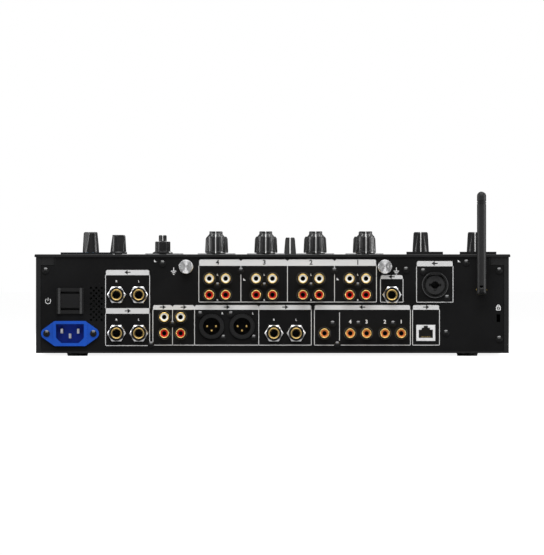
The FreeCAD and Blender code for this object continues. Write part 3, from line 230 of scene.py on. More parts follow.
SOCKET_GREY = grained("socket_grey", (0.09, 0.09, 0.09), 0.6, 0.15, 1800, 0.02)
BOARD = grained("board_laminate", (0.006, 0.022, 0.011), 0.5, 0.5, 700, 0.05)
SCREEN = glass("screen_glass", (0.006, 0.007, 0.009))
AMBER = glass("amber_cap", (0.62, 0.36, 0.07), 0.24)
GREEN_LAMP = glass("green_lamp", (0.03, 0.3, 0.07), 0.2)
AMBER_LAMP = glass("amber_lamp", (0.5, 0.27, 0.03), 0.2)
RED_LAMP = glass("red_lamp", (0.4, 0.02, 0.015), 0.2)
SCREEN_MARK = glass("screen_mark", (0.16, 0.34, 0.55), 0.2)
CINCH_FINISHES = [GOLD, WHITE_INSERT, RED_INSERT, ORANGE_INSERT, DARK_AND_PAINTED_SHADE]


# Mesh building


def give_materials(mesh, materials, finishes):
    for material in materials:
        mesh.materials.append(material)
    mesh.polygons.foreach_set("material_index", finishes)


class Form:
    """Vertices and faces of one piece, each face with the place of its material in a list."""

    def __init__(self):
        self.points, self.faces, self.finishes = [], [], []

    def add(self, points, faces, finish=0, place=Matrix.Identity(4)):
        start = len(self.points)
        self.points += [place @ Vector(point) for point in points]
        self.faces += [[start + number for number in face] for face in faces]
        self.finishes += [finish] * len(faces)

    def block(self, low, high, finish=0, place=Matrix.Identity(4)):
        """The solid between two outlines of as many points, anticlockwise as seen from the high one."""
        count = len(low)
        faces = [list(reversed(range(count))), list(range(count, 2 * count))]
        faces += [(i, (i + 1) % count, (i + 1) % count + count, i + count) for i in range(count)]
        self.add(low + high, faces, finish, place)

    def box(self, low, high, finish=0):
        outline = rectangle(*low[:2], *high[:2])
        self.block(*[[(x, y, z) for x, y in outline] for z in (low[2], high[2])], finish)

    def lathe(self, place, profile, steps=48, finish=0, wave=None, ring=False):
        """A turned body, from a profile of (radius, height) or (radius, height, share of the wave).

        The profile runs from the foot to the top or, where ring is set, right round a section.
        """
        points = []
        for radius, height, *share in profile:
            for step in range(steps):
                angle = math.tau * step / steps
                r = radius - (wave(angle, radius, *share) if wave and share else 0.0)
                points.append((r * math.sin(angle), r * math.cos(angle), height))
        rings = len(profile)
        faces = []
        for level in range(rings if ring else rings - 1):
            low, high = level * steps, (level + 1) % rings * steps
            for step in range(steps):
                after = (step + 1) % steps
                faces.append((low + after, low + step, high + step, high + after))
        if not ring:
            faces.append(list(range(steps)))
            faces.append(list(reversed(range((rings - 1) * steps, rings * steps))))
        self.add(points, faces, finish, place)

    def prism(self, sheet, outline, height, finish=0):
        """A flat outline, raised from a sheet by height."""
        self.block(*[[(u, v, level) for u, v in outline] for level in (0.0, height)], finish, sheet)

    def band(self, sheet, outer, inner, height, finish=0):
        """The closed band between two outlines with as many points each."""
        count = len(outer)
        points = [(u, v, level) for level in (0.0, height) for ring in (outer, inner) for u, v in ring]
        top, outside, inside, base = (2, 3), (0, 2), (3, 1), (1, 0)
        faces = []
        for i in range(count):
            j = (i + 1) % count
            for a, b in (top, outside, inside, base):
                faces.append((i + a * count, j + a * count, j + b * count, i + b * count))
        self.add(points, faces, finish, sheet)

    def text(self, sheet, words, size, u, v, height, finish=0):
        """Plain figures, centred on (u, v)."""
        curve = bpy.data.curves.new("figures", "FONT")
        curve.body = words
        curve.size = size * MM
        curve.align_x = "CENTER"
        curve.align_y = "CENTER"
        curve.resolution_u = 3
        curve.offset = 0.03 * curve.size
        curve.extrude = height * MM / 2
        carrier = bpy.data.objects.new("figures", curve)
        link(carrier)
        bpy.context.view_layer.update()
        mesh = bpy.data.meshes.new_from_object(carrier.evaluated_get(bpy.context.evaluated_depsgraph_get()))
        points = [vertex.co / MM + Vector((u, v, height / 2)) for vertex in mesh.vertices]
        self.add(points, [list(face.vertices) for face in mesh.polygons], finish, sheet)
        bpy.data.objects.remove(carrier)
        bpy.data.curves.remove(curve)
        bpy.data.meshes.remove(mesh)

    def make(self, name, body, materials, replaces=None, bevel=0.0, smooth=32):
        mesh = bpy.data.meshes.new(name)
        mesh.from_pydata([point * MM for point in self.points], [], self.faces)
        give_materials(mesh, materials, self.finishes)
        mesh.validate()
        mesh.shade_smooth()
        mesh.set_sharp_from_angle(angle=math.radians(smooth))
        piece = bpy.data.objects.new(name, mesh)
        link(piece)
        if bevel:
            rounding = piece.modifiers.new("edges", "BEVEL")
            rounding.width = bevel * MM
            rounding.segments = 2
            rounding.limit_method = "ANGLE"
        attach(piece, body)
        if replaces:
            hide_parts(replaces)
        return piece


def rear_sheet(x, y, z):
    """A place to print on that faces the rear, with its X to the right as seen from there, and its Y up."""
    return Matrix(((-1, 0, 0, x), (0, 0, 1, y), (0, 1, 0, z), (0, 0, 0, 1)))


REAR_SHEET = rear_sheet(0, REAR, 0)
TOP_SHEET = Matrix.Translation((0, 0, TOP))
PLATE_SHEET = Matrix.Translation((0, 0, PLATE_TOP))


def rectangle(u0, v0, u1, v1):
    return [(u0, v0), (u1, v0), (u1, v1), (u0, v1)]


def rounded(u0, v0, u1, v1, radii, steps=4):
    """A rectangle with its own radius at each corner, from the lower left one round."""
    turns = [(u0, v0, 1, 1, 180), (u1, v0, -1, 1, 270), (u1, v1, -1, -1, 0), (u0, v1, 1, -1, 90)]
    outline = []
    for (u, v, du, dv, start), radius in zip(turns, radii):
        for step in range(steps + 1):
            angle = math.radians(start + 90 * step / steps)
            outline.append((u + radius * (du + math.cos(angle)), v + radius * (dv + math.sin(angle))))
    return outline


def circle(u, v, radius, steps=24, start=0.0, end=math.tau):
    span = end - start
    count = steps if span >= math.tau else steps + 1
    angles = [start + span * i / steps for i in range(count)]
    return [(u + radius * math.cos(angle), v + radius * math.sin(angle)) for angle in angles]


def tube(inner, outer, low, high):
    """The section of a plain ring."""
    return [(inner, low), (outer, low), (outer, high), (inner, high)]


def facing_rear(x, y, z, side=1):
    """A place whose height runs out of the rear panel, or out of the front wall where side is -1."""
    return Matrix.Translation((x, y, z)) @ Matrix.Rotation(-side * math.pi / 2, 4, "X")


def set_materials(node, materials, choose=None):
    """Gives a node its materials, by the place of each face where choose is given."""
    mesh = frame["nodes"][node].data
    mesh.materials.clear()
    give_materials(mesh, materials, [choose(face.center / MM) if choose else 0 for face in mesh.polygons])


# Sockets of the rear panel: each face of a node takes its finish from where it is


def cinch_places():
    """The middle of each small socket, and the place of its colour in CINCH_FINISHES."""
    places = []
    for block, foot in [(x, UPPER_ROW) for x in LINE_BLOCKS] + [(RECORD_X, LOWER_ROW)]:
        places += [(block + side * CINCH_PAIR / 2, foot + row * CINCH_ROW_GAP, 2 - row)
                   for side in (1, -1) for row in (1, 0)]
    return places + [(x, LOWER_ROW, 3) for x in [DIGITAL_OUT_X] + DIGITAL_IN_X]


def jack_places():
    places = [(RETURN_X + side * JACK_PAIR / 2, z) for side in (1, -1) for z in (UPPER_ROW, LOWER_ROW)]
    places += [(BOOTH_X + side * JACK_PAIR / 2, LOWER_ROW) for side in (1, -1)]
    return places + [(SECOND_MIC_X, UPPER_ROW)]


def headphone_place():
    """The middle of the headphone socket in the front wall."""
    opening = next(box for box in frame["record"]["physics"]["openings"] if box["name"] == "headphone_jack")
    low, high = (Vector(corner) / MM for corner in opening["box_m"])
    return (low.x + high.x) / 2, (low.z + high.z) / 2


def apart(point, x, z):
    """How far a point is from an axis along Y."""
    return math.hypot(point.x - x, point.z - z)


def nearest(point, places):
    return min(places, key=lambda place: apart(point, *place[:2]))


def finish_cinch():
    places = cinch_places()
    shell_inside, pin_hole, face_depth = 3.24, 1.66, 1.5
    dark = CINCH_FINISHES.index(DARK_AND_PAINTED_SHADE)

    def choose(point):
        if point.y < REAR - face_depth:
            return dark
        x, z, colour = nearest(point, places)
        radius = apart(point, x, z)
        if radius > shell_inside:
            return 0
        # Inside the pin hole the matt dark finish is painted shade.
        return dark if radius < pin_hole else colour

    set_materials("cinch_sockets", CINCH_FINISHES, choose)


def make_socket_faces():
    """Rounded rims, hollow faces and dark pin wells of the small sockets, and funnels with dark throats in the
    jack rings; the dark wells and throats are painted shade.
    """
    form = Form()
    gold, dark, jack_gold = 0, 4, 5
    shell, inside, hole, reach = 4.13, 3.28, 1.95, 8.4
    wall, half = (shell + inside) / 2, (shell - inside) / 2
    rim = [(shell, reach - half)]
    for step in range(9):
        angle = math.pi * step / 8
        rim.append((wall + half * math.cos(angle), reach + half * math.sin(angle)))
    rim.append((inside, reach - half))
    face = [(hole, reach - 0.8), (inside, reach - 0.8), (inside, reach - 0.1), (hole + 0.1, reach - 0.64)]
    # A dark ring set down in each pin hole: painted shade.
    well = tube(1.5, hole + 0.02, reach - 0.7, reach - 0.6)
    for x, z, colour in cinch_places():
        for section, finish in ((rim, gold), (face, colour), (well, dark)):
            form.lathe(facing_rear(x, REAR, z), section, 40, finish, ring=True)
    front, back, mouth = 3.9, 3.6, 3.8
    # A dark ring inside each gold funnel is painted shade in the jack's throat.
    painted_throat_shade = [(3.3, back), (mouth, back), (mouth, front + 0.12), (3.32, front + 0.04)]
    funnel = [(mouth, back), (4.66, back), (4.66, front + 0.24), (4.45, front + 0.34), (mouth, front + 0.14)]
    for x, z in jack_places():
        for section, finish in ((funnel, jack_gold), (painted_throat_shade, dark)):
            form.lathe(facing_rear(x, REAR, z), section, 48, finish, ring=True)
    form.make("socket_faces", "case", CINCH_FINISHES + [JACK_GOLD])


def finish_jacks():
    places = jack_places() + [headphone_place()]
    ring_depth, ring_radius = 2.75, 4.75

    def choose(point):
        outside = max(point.y - REAR, FRONT - point.y)
        return int(outside > ring_depth and apart(point, *nearest(point, places)) < ring_radius)

    set_materials("jack_sockets", [BLACK_PLASTIC, JACK_GOLD], choose)


def hexagon(angle, radius, share):
    """What a six-sided nut lacks of its corner circle, with corners at three and nine o'clock."""
    sixth = math.tau / 6
    off = (angle + sixth / 2) % sixth - sixth / 2
    return share * radius * (1 - math.cos(sixth / 2) / math.cos(off))


def make_nuts():
    """Hex nuts with a bevelled edge and a face that rises a little to the bore."""
    points = node_points("jack_nuts")
    form = Form()
    edge, reach = 0.35, 9
    for x, z, side in [(*place, 1) for place in jack_places()] + [(*headphone_place(), -1)]:
        near = [point for point in points if apart(point, x, z) < reach and point.y * side > 0]
        radii = [apart(point, x, z) for point in near]
        levels = [point.y * side for point in near]
        corner, bore = max(radii), min(radii)
        seat, height = min(levels), max(levels) - min(levels)
        section = [(bore, 0), (corner, 0, 1), (corner, height - 2 * edge, 1),
                   (corner - edge, height - edge, 1), (bore + edge, height), (bore, height - edge)]
        form.lathe(facing_rear(x, seat * side, z, side), section, 72, 0, hexagon, ring=True)
    form.make("hex_nuts", "case", [CHROME], "jack_nuts")


def finish_outlets():
    """Pins with painted shade on their sides and gold tips, in bores with the matt dark finish as painted shade.
    """
    pins = [(3.8, 0.0), (-3.8, 0.0), (0.0, -3.7)]
    pin_radius, pin_depth, bore_radius = 1.3, 12.7, 7.6
    middles = [(OUTLET_X + side * OUTLET_PITCH / 2, OUTLET_Z) for side in (1, -1)]
    places = [(x + pin_x, z + pin_z) for x, z in middles for pin_x, pin_z in pins]

    def choose(point):
        # Pin sides take painted shade, and the bore round them the matt dark finish as painted shade.
        if apart(point, *nearest(point, places)) < pin_radius and point.y > REAR - pin_depth:
            return 1
        return 2 if apart(point, *nearest(point, middles)) < bore_radius else 0

    set_materials("three_pin_outlets", [BLACK_PLASTIC, PIN_PAINTED_SHADE, DARK_AND_PAINTED_SHADE], choose)
    points = node_points("three_pin_outlets")
    tip = [(0.75, -0.2), (0.75, 0.05), (0.3, 0.2)]
    form = Form()
    for x, z in places:
        end = max(point.y for point in points if apart(point, x, z) < pin_radius)
        form.lathe(facing_rear(x, end, z), tip, 20)
    form.make("pin_tips", "case", [PIN_GOLD])


def finish_combo():
    """A grey disc in a dark socket, with a painted highlight ring on its face for the edge of the flange."""
    centre = middle("combo_socket")
    disc, disc_depth = 8.2, 1.2
    ring_radius, ring_width = 11.2, 0.36

    def choose(point):
        if point.y < REAR - disc_depth:
            return 2
        return int(apart(point, centre.x, centre.z) < disc)

    set_materials("combo_socket", [BLACK_PLASTIC, DISC_PLASTIC, SOCKET_GREY], choose)
    points = node_points("combo_socket")
    face = max(point.y for point in points if apart(point, centre.x, centre.z) > disc)
    sheet = rear_sheet(centre.x, face, centre.z)
    form = Form()
    # The ring is a painted highlight on the flange's edge.
    form.band(sheet, circle(0, 0, ring_radius, 64), circle(0, 0, ring_radius - ring_width, 64), INK)
    form.make("combo_painted_highlight_ring", "case", [EDGE_PAINTED_HIGHLIGHT])


def finish_inlet():
    """Metal blades in a well of a deeper blue, lightened as painted light where the well lies in shade."""
    centre = middle("mains_inlet")
    blades = [(0.0, -2.1), (7.0, 2.1), (-7.0, 2.1)]
    half_blade_x, half_blade_z, blade_depth = 1.05, 2.05, 13
    half_well_x, half_well_z, well_front = 12, 8.2, 2.3

    def choose(point):
        x, z = point.x - centre.x, point.z - centre.z
        on_blade = any(abs(x - u) < half_blade_x and abs(z - v) < half_blade_z for u, v in blades)
        if on_blade and point.y > REAR - blade_depth:
            return 1
        in_well = abs(x) < half_well_x and abs(z) < half_well_z
        return 2 if in_well and point.y < REAR + well_front else 0

    set_materials("mains_inlet", [INLET_BLUE, BLADE, WELL_BLUE_PAINTED_LIGHT], choose)


def finish_data_sockets():
    """A shielded network port with gold contacts, and dark ports on the top."""
    network_x, network_z, half_port, shield_front = -131.4, 19.95, 6.2, 0.7
    top_ports_z = 40

    def choose(point):
        if point.z > top_ports_z:
            return 2
        inside = abs(point.x - network_x) < half_port and abs(point.z - network_z) < half_port
        return int(inside and point.y < REAR + shield_front)

    set_materials("data_sockets", [SHIELD, SOCKET_GREY, DARK_AND_PAINTED_SHADE], choose)
    form = Form()
    pitch, half_width, thick, foot = 1.02, 0.25, 0.6, network_z - 3.7
    for index in range(8):
        x = network_x + (index - 3.5) * pitch
        form.box((x - half_width, REAR - 9, foot), (x + half_width, REAR - 0.6, foot + thick))
    form.make("network_contacts", "case", [GOLD])


def finish_bezels():
    """The screen, the port bezels and the pale plates between them, and a glossy guard on the switch."""
    screen_x, port_x, flange = 120, -100, 1.6
    set_materials("panel_bezels", [PLATE_GREY, BEZEL_BLACK, SCREEN],
                  lambda point: 2 if point.x > screen_x else int(point.x < port_x))
    set_materials("switch_frame", [BEZEL_BLACK, GUARD], lambda point: int(point.y > REAR + flange))


def finish_plain_nodes():
    plain = {
        "chassis_tray": CASE, "rear_panel": PANEL, "top_panel": TOP_PAINT, "rubber_feet": RUBBER,
        "power_rocker": BLACK_PLASTIC, "combo_latch": BLACK_PLASTIC,
        "antenna_connector": GOLD, "antenna_knuckle": BLACK_PLASTIC, "antenna_whip": WHIP,
        "circuit_boards": BOARD,
    }
    plain.update({f"channel_{channel}_cue_button": AMBER for channel in CHANNELS})
    for node, material in plain.items():
        set_materials(node, [material])


def screw_places():
    """The middle and the end of each screw head, from the frame's own screws."""
    head_start, head_reach = 1.6, 8
    heads = []
    for point in node_points("case_screws"):
        if point.y < REAR + head_start:
            continue
        near = [head for head in heads if apart(point, head[0].x, head[0].z) < head_reach]
        if near:
            near[0].append(point)
        else:
            heads.append([point])
    places = []
    for head in heads:
        xs, ys, zs = zip(*head)
        places.append(((min(xs) + max(xs)) / 2, max(ys), (min(zs) + max(zs)) / 2))
    return places


def make_screws():
    """Domed heads with a cross recess on their shanks; the recess and the lower part of each dome take a matt dark
    finish as painted shade.
    """
    form = Form()
    head, head_radius, edge_radius, curve = 1.7, 2.85, 2.65, 4.8
    shank, shank_length = 1.3, 6
    arm, half_width, recess, painted_shade_top = 0.9, 0.22, 0.5, 0.5
    rings = 8

    def dome(radius):
        return head - curve + math.sqrt(curve ** 2 - radius ** 2)

    profile = [(shank, -shank_length), (shank, 0), (head_radius, 0),
               (head_radius, dome(edge_radius) - 0.1)]
    for index in range(rings):
        radius = edge_radius * (1 - index / rings)
        profile.append((radius, dome(radius)))
    for x, end, z in screw_places():
        first = len(form.faces)
        form.lathe(facing_rear(x, end - head, z), profile, 32)
        # Faces below the middle take the matt dark finish: painted shade on the lower part of the dome.
        for number in range(first, len(form.faces)):
            face = form.faces[number]
            if sum(form.points[corner].z for corner in face) / len(face) < z + painted_shade_top:
                form.finishes[number] = 1
        # The cross recess is a dark box standing a little proud of the dome: painted shade for the recess.
        for reach_x, reach_z in ((arm, half_width), (half_width, arm)):
            form.box((x - reach_x, end - recess, z - reach_z), (x + reach_x, end + 0.02, z + reach_z), 1)
    form.make("domed_screws", "case", [SCREW_BLACK, DARK_AND_PAINTED_SHADE], "case_screws")


def make_whip_rings():
    """Two dark rings below the round end of the whip, painted shade for its two grooves."""
    low, high = corners("antenna_whip")
    radius = (high.x - low.x) / 2
    section = tube(radius - 0.3, radius + 0.03, 0, 0.5)
    form = Form()
    for drop in (8.1, 10.2):
        place = Matrix.Translation((low.x + radius, high.y - radius, high.z - drop))
        form.lathe(place, section, 48, 0, ring=True)
    form.make("whip_rings", "antenna_whip", [DARK_AND_PAINTED_SHADE])


def make_ground_terminals():
    """Thumbscrews with a knurled rim, and a face turned in fine rings."""
    low, high = corners("ground_terminals")
    radius, head = (high.z - low.z) / 2, high.y - REAR
    edge, shank, shank_length = 0.5, 2.0, 6
    grooves, groove_depth = 12, 0.17
    teeth, tooth_depth = 60, 0.22
    profile = [(shank, -shank_length), (shank, 0), (radius - edge, 0.02), (radius, edge, 1),
               (radius, head - edge, 1), (radius - edge, head)]
    rim_rings = len(profile) - 1
    for index in range(1, 2 * grooves):
        profile.append(((radius - edge) * (1 - index / (2 * grooves)), head - groove_depth * (index % 2)))
    steps = teeth * 4
    form = Form()
    for x in (low.x + radius, high.x - radius):
        face_start = len(form.faces) + rim_rings * steps
        form.lathe(facing_rear(x, REAR, low.z + radius), profile, steps, 0, scallop(teeth, tooth_depth))
        for number in range(face_start, len(form.faces) - 2):
            form.finishes[number] = 1
        form.finishes[-1] = 1
    form.make("ground_thumbscrews", "case", [KNURL, SPUN], "ground_terminals")


# Print on the rear panel, seen from behind, where +X is on the left

LINE = 0.56
CORNER = 2.0
PALE, WHITE, DARK, HOLE_EDGE_HIGHLIGHT, PAINTED_GAP_SHADE = range(5)
# The two long rows of headers: top, foot, and base of the boxes below
UPPER = (83.4, 77.4, 46.1)
LOWER = (44.3, 39.8, 9.2)
# Boxes: right and left edge, top, header's foot, base
BOXES = [
    (143.2, 104.9, 74.4, 69.4, 8.8),
    (63.3, -89.4, *UPPER),
    (102.7, -33.6, *LOWER),
    (-35.7, -118.5, *LOWER),
    (-119.8, -143.4, *LOWER),
    (-92.3, -112.2, 70.0, 66.1, 46.0),
    (-123.2, -155.0, 82.0, 77.0, 46.0),
]
# A second header inside the first box: right and left edge, top and foot
INNER_HEADER = (143.2, 104.9, 41.1, 36.4)
# Dividers below a notch in a header: place across, and the header's row
DIVIDERS = [(x, *UPPER) for x in (27.0, -12.9, -53.2)] + [(x, *LOWER) for x in (85.6, 66.7, 11.7)]
# A divider without a notch: place across, top and foot
PLAIN_DIVIDER = (-57.5, 37.5, 13.4)
# Arrows in the headers: place across and up, and whether they stand for a way out
ARROWS = [
    (124.05, 71.9, False), (124.05, 38.75, True), (94.0, 42.05, True), (76.2, 42.05, True),
    (39.2, 42.05, True), (-10.9, 42.05, True), (-77.1, 42.05, False), (-131.6, 42.05, True),
    (-102.25, 68.05, False), (-139.1, 79.5, False),
]
# Letters over pairs of sockets: middle across, place up, and how far they are apart
LETTERS = [(x, row + 11.5, JACK_PAIR)
           for x, row in ((RETURN_X, UPPER_ROW), (RETURN_X, LOWER_ROW), (BOOTH_X, LOWER_ROW))]
LETTERS.append((OUTLET_X - 9.2, 36.6, OUTLET_PITCH))
# Small triangles beside screws: place across and up
TRIANGLES = [(100.3, 81.6), (23.9, 65.8), (-56.1, 66.2), (-159.9, 81.6)]
# A dark strip of painted shade for the gap beside each ear of the case: place across, half its width, foot and top
EAR_GAP_PAINTED_SHADE = (186.3, 0.7, 78.2, 84.8)


def rear_shape(form, outline, finish=WHITE, rise=1.0):
    form.prism(REAR_SHEET, outline, INK * rise, finish)


def rear_text(form, words, size, x, z, finish=WHITE, rise=1.0):
    form.text(REAR_SHEET, words, size, -x, z, INK * rise, finish)


def rear_box(form, right, left, top, header, base):
    """A pale frame with a solid header."""
    radii = (0.5 * CORNER, 0.5 * CORNER, CORNER, CORNER)
    outer = rounded(-right, base, -left, top, radii)
    inner = rounded(LINE - right, base + LINE, -left - LINE, top - LINE, [max(r - LINE, 0.1) for r in radii])
    form.band(REAR_SHEET, outer, inner, INK, PALE)
    rear_shape(form, rounded(-right, header, -left, top, (0.05, 0.05, CORNER, CORNER)), PALE)


def divider(form, x, top, foot):
    rear_shape(form, rectangle(-x - LINE / 2, foot, LINE / 2 - x, top), PALE)


def arrow(form, u, v, outward):
    """A plain dark arrow, to the right for a way out and to the left for a way in."""
    half, half_line, half_head = 2.5, 0.45, 2.1
    rear_shape(form, rectangle(u - half, v - half_line, u + half, v + half_line), DARK, 1.6)
    head = [(u + (half if outward else -half), v), (u, v + half_head), (u, v - half_head)]
    rear_shape(form, head if outward else head[::-1], DARK, 1.9)


def power_mark(form, u, v, radius):
    line = 0.2 * radius
    gap = 0.7
    start, end = math.pi / 2 + gap, math.pi / 2 + math.tau - gap
    outer = circle(u, v, radius, 24, start, end)
    inner = circle(u, v, radius - line, 24, start, end)
    rear_shape(form, outer + inner[::-1])
    rear_shape(form, rectangle(u - line / 2, v, u + line / 2, v + radius * 1.15))


def ground_mark(form, u, v, size):
    line = 0.14 * size
    rear_shape(form, rectangle(u - line / 2, v, u + line / 2, v + size * 0.6))
    for step, width in enumerate((1.0, 0.62, 0.26)):
        half, level = size * width / 2, v - step * 2.1 * line
        rear_shape(form, rectangle(u - half, level - line, u + half, level))


def lock_mark(form, u, v, size):
    low, high = v - 0.5 * size, v + 0.15 * size
    half, line, bow = 0.38 * size, 0.12 * size, 0.3 * size
    outer = rounded(u - half, low, u + half, high, [0.1 * size] * 4)
    inner = rounded(u - half + line, low + line, u + half - line, high - line, [0.04 * size] * 4)
    form.band(REAR_SHEET, outer, inner, INK, WHITE)
    rear_shape(form, circle(u, (low + high) / 2, 0.09 * size, 12))
    inner = circle(u, high, bow - line, 12, 0.0, math.pi)
    rear_shape(form, circle(u, high, bow, 12, 0.0, math.pi) + inner[::-1])


def make_rear_print():
    form = Form()
    notch, triangle = 1.9, 1.05
    channel_size, digit_size, pair_letter, letter = 5.6, 4.4, 2.2, 2.4
    channel_z, digit_z, pair_above, pair_below = 80.2, 29.4, 3.2, 4.6
    hole, hole_line = 5.45, 0.3
    for sizes in BOXES:
        rear_box(form, *sizes)
    right, left, top, foot = INNER_HEADER
    rear_shape(form, rectangle(-right, foot, -left, top), PALE)
    for x, top, foot, base in DIVIDERS:
        divider(form, x, foot, base)
        rear_shape(form, [(-x - notch, top), (-x, top - notch), (notch - x, top)], DARK, 1.5)
    divider(form, *PLAIN_DIVIDER)
    for number, x in zip("4321", LINE_BLOCKS):
        rear_text(form, number, channel_size, x, channel_z, DARK, 1.7)
        rear_text(form, "L", pair_letter, x, UPPER_ROW + CINCH_ROW_GAP + pair_above)
        rear_text(form, "R", pair_letter, x, UPPER_ROW - pair_below)
    for number, x in zip("4321", DIGITAL_IN_X):
        rear_text(form, number, digit_size, x, digit_z)
    for x, z, outward in ARROWS:
        arrow(form, -x, z, outward)
    for x, z, apart_x in LETTERS:
        rear_text(form, "R", letter, x + apart_x / 2, z)
        rear_text(form, "L", letter, x - apart_x / 2, z)
    # A pale ring round each small socket's hole: painted highlight on the edge of the hole.
    for x, z, _ in cinch_places():
        form.band(REAR_SHEET, circle(-x, z, hole, 32), circle(-x, z, hole - hole_line, 32), INK, HOLE_EDGE_HIGHLIGHT)
    # Painted shade where the gap beside each ear lies.
    edge, half, foot, top = EAR_GAP_PAINTED_SHADE
    for u in (-edge, edge):
        rear_shape(form, rectangle(u - half, foot, u + half, top), PAINTED_GAP_SHADE)
    power_mark(form, -192.2, 47.2, 2.5)
    lock_mark(form, 193.6, 41.8, 5.2)
    for u in (-84.6, 106.2):
        ground_mark(form, u, 73.2, 4.6)
    for x, z in TRIANGLES:
        low, high = z - triangle, z + triangle
        rear_shape(form, [(-x - triangle, high), (-x - triangle, low), (triangle - x, low)])
    form.make("rear_print", "case", [PRINT, WHITE_PRINT, DARK_PRINT, EDGE_PAINTED_HIGHLIGHT, DARK_AND_PAINTED_SHADE])


# Knobs and faders of the top panel

KNOB_LIFT = 0.5
KNOB_SEAT = TOP + KNOB_LIFT


def knob_place(node):
    """Where the axis of a knob stands on the panel."""
    return Vector(JOINTS[node]["pos_m"]).xy / MM


def pointer(form, place, profile, width, finish):
    """A strip up a knob's far side and over its top, nearly to the middle."""
    lift, depth = 0.16, 0.5
    top_radius, top = profile[-1]
    outer = [(radius + lift, height) for radius, height in profile[:-1]]
    inner = [(max(radius - depth, 0.0), height) for radius, height in outer]
    for radius in (top_radius, top_radius * 0.15):
        outer.append((radius, top + lift))
        inner.append((radius, top + lift - depth))
    points = [(side * width / 2, reach, level)
              for pair in zip(outer, inner) for reach, level in pair for side in (-1, 1)]
    last = len(points) - 4
    faces = []
    for a in range(0, last, 4):
        b = a + 4
        faces += [(a, a + 1, b + 1, b), (a + 2, b + 2, b + 3, a + 3)]
        faces += [(a, b, b + 2, a + 2), (a + 1, a + 3, b + 3, b + 1)]
    faces += [(0, 2, 3, 1), (last, last + 1, last + 3, last + 2)]
    form.add(points, faces, finish, place)


def scallop(count, depth):
    """Shallow waves, with a crest at the pointer."""
    def wave(angle, _, share):
        return depth * share * (0.5 - 0.5 * math.cos(count * angle))
    return wave


def facets(count, depth):
    """Flat cuts that widen as they deepen, with an edge at the pointer."""
    pitch = math.tau / count

    def wave(angle, radius, share):
        off = angle % pitch - pitch / 2
        return max(0.0, radius - (radius - depth * share) / math.cos(off))
    return wave


def hollows(count, depth, hollow_radius):
    """Round hollows between ribs, with a rib at the pointer."""
    pitch = math.tau / count

    def wave(angle, radius, share):
        off = angle % pitch - pitch / 2
        middle_radius = radius - depth * share + hollow_radius
        inside = hollow_radius ** 2 - (middle_radius * math.sin(off)) ** 2
        if inside <= 0:
            return 0.0
        return max(0.0, radius - middle_radius * math.cos(off) + math.sqrt(inside))
    return wave


def knob(node, stack, line=0.7, turn=0.0, steps=144, body=KNOB_DARK, spindle=3.0, bore=0.0):
    """A knob that stands for its node: its stack holds turned sections, each with its own wave."""
    x, y = knob_place(node)
    low, high = corners(node)
    foot = high.z - stack[-1][0][-1][1]
    place = Matrix.Translation((x, y, foot)) @ Matrix.Rotation(turn, 4, "Z")
    form = Form()

    def turned(where, sections, count, finish, wave=None):
        """A turned body, hollow where the knob has a bore."""
        inside = [(bore, sections[-1][1]), (bore, 0)] if bore else []
        form.lathe(where, sections + inside, count, finish, wave, bool(bore))

    for sections, wave in stack:
        turned(place, sections, steps, 0, wave)
        form.finishes[-1] = 0 if bore else 1
    turned(Matrix.Translation((x, y, low.z)), [(spindle, 0), (spindle, foot - low.z)], 24, 3)
    if line:
        path = [(radius, height) for sections, _ in stack for radius, height, *_ in sections][1:]
        pointer(form, place, path, line, 2)
    form.make(f"{node}_cap", node, [body, KNOB_TOP, POINTER, BLACK_STEEL], node, smooth=16)


def tall_knob(node):
    """A ribbed body that is drawn in upward, a sloped shoulder and a cap with fine ribs."""
    foot, rim, cap, edge = 8.15, 7.5, 5.65, 0.35
    start, run_out, trunk, shoulder, rings = 1.2, 0.7, 14.8, 2.1, 7
    neck, height = trunk + shoulder, corners(node)[1].z - KNOB_SEAT
    lower = [(foot - edge, 0), (foot, edge), (foot, start)]
    for index in range(rings + 1):
        share = index / rings
        lower.append((foot + (rim - foot) * share, start + run_out + (trunk - start - run_out) * share, 1))
    lower.append((cap, neck))
    upper = [(cap, neck), (cap, neck + edge, 1), (cap, height - edge, 1), (cap - edge, height)]
    knob(node, [(lower, hollows(8, 1.05, 1.7)), (upper, scallop(26, 0.4))], body=KNOB)


def cone_knob(node, radii, bevel, wave, seat=KNOB_SEAT, skirt=None, deepening=False, **options):
    """A body drawn in upward and bevelled at its top, on a flange where skirt gives its radius and height."""
    foot, rim, top = radii
    height = corners(node)[1].z - seat
    edge, ease, rings = 0.35, 0.4, 9
    sections = [(foot - edge, 0), (foot, edge)]
    start = 1.0
    if skirt:
        wide, start = skirt
        sections = [(wide - edge, 0), (wide, edge), (wide, start * 0.5), (foot, start)]
    for index in range(rings + 1):
        share = index / rings
        level = start + ease + (height - bevel - start - ease) * share
        sections.append((foot + (rim - foot) * share, level, share if deepening else 1.0))
    sections += [(top + 0.05, height - edge, 0.6), (top - edge, height)]
    knob(node, [(sections, wave)], **options)


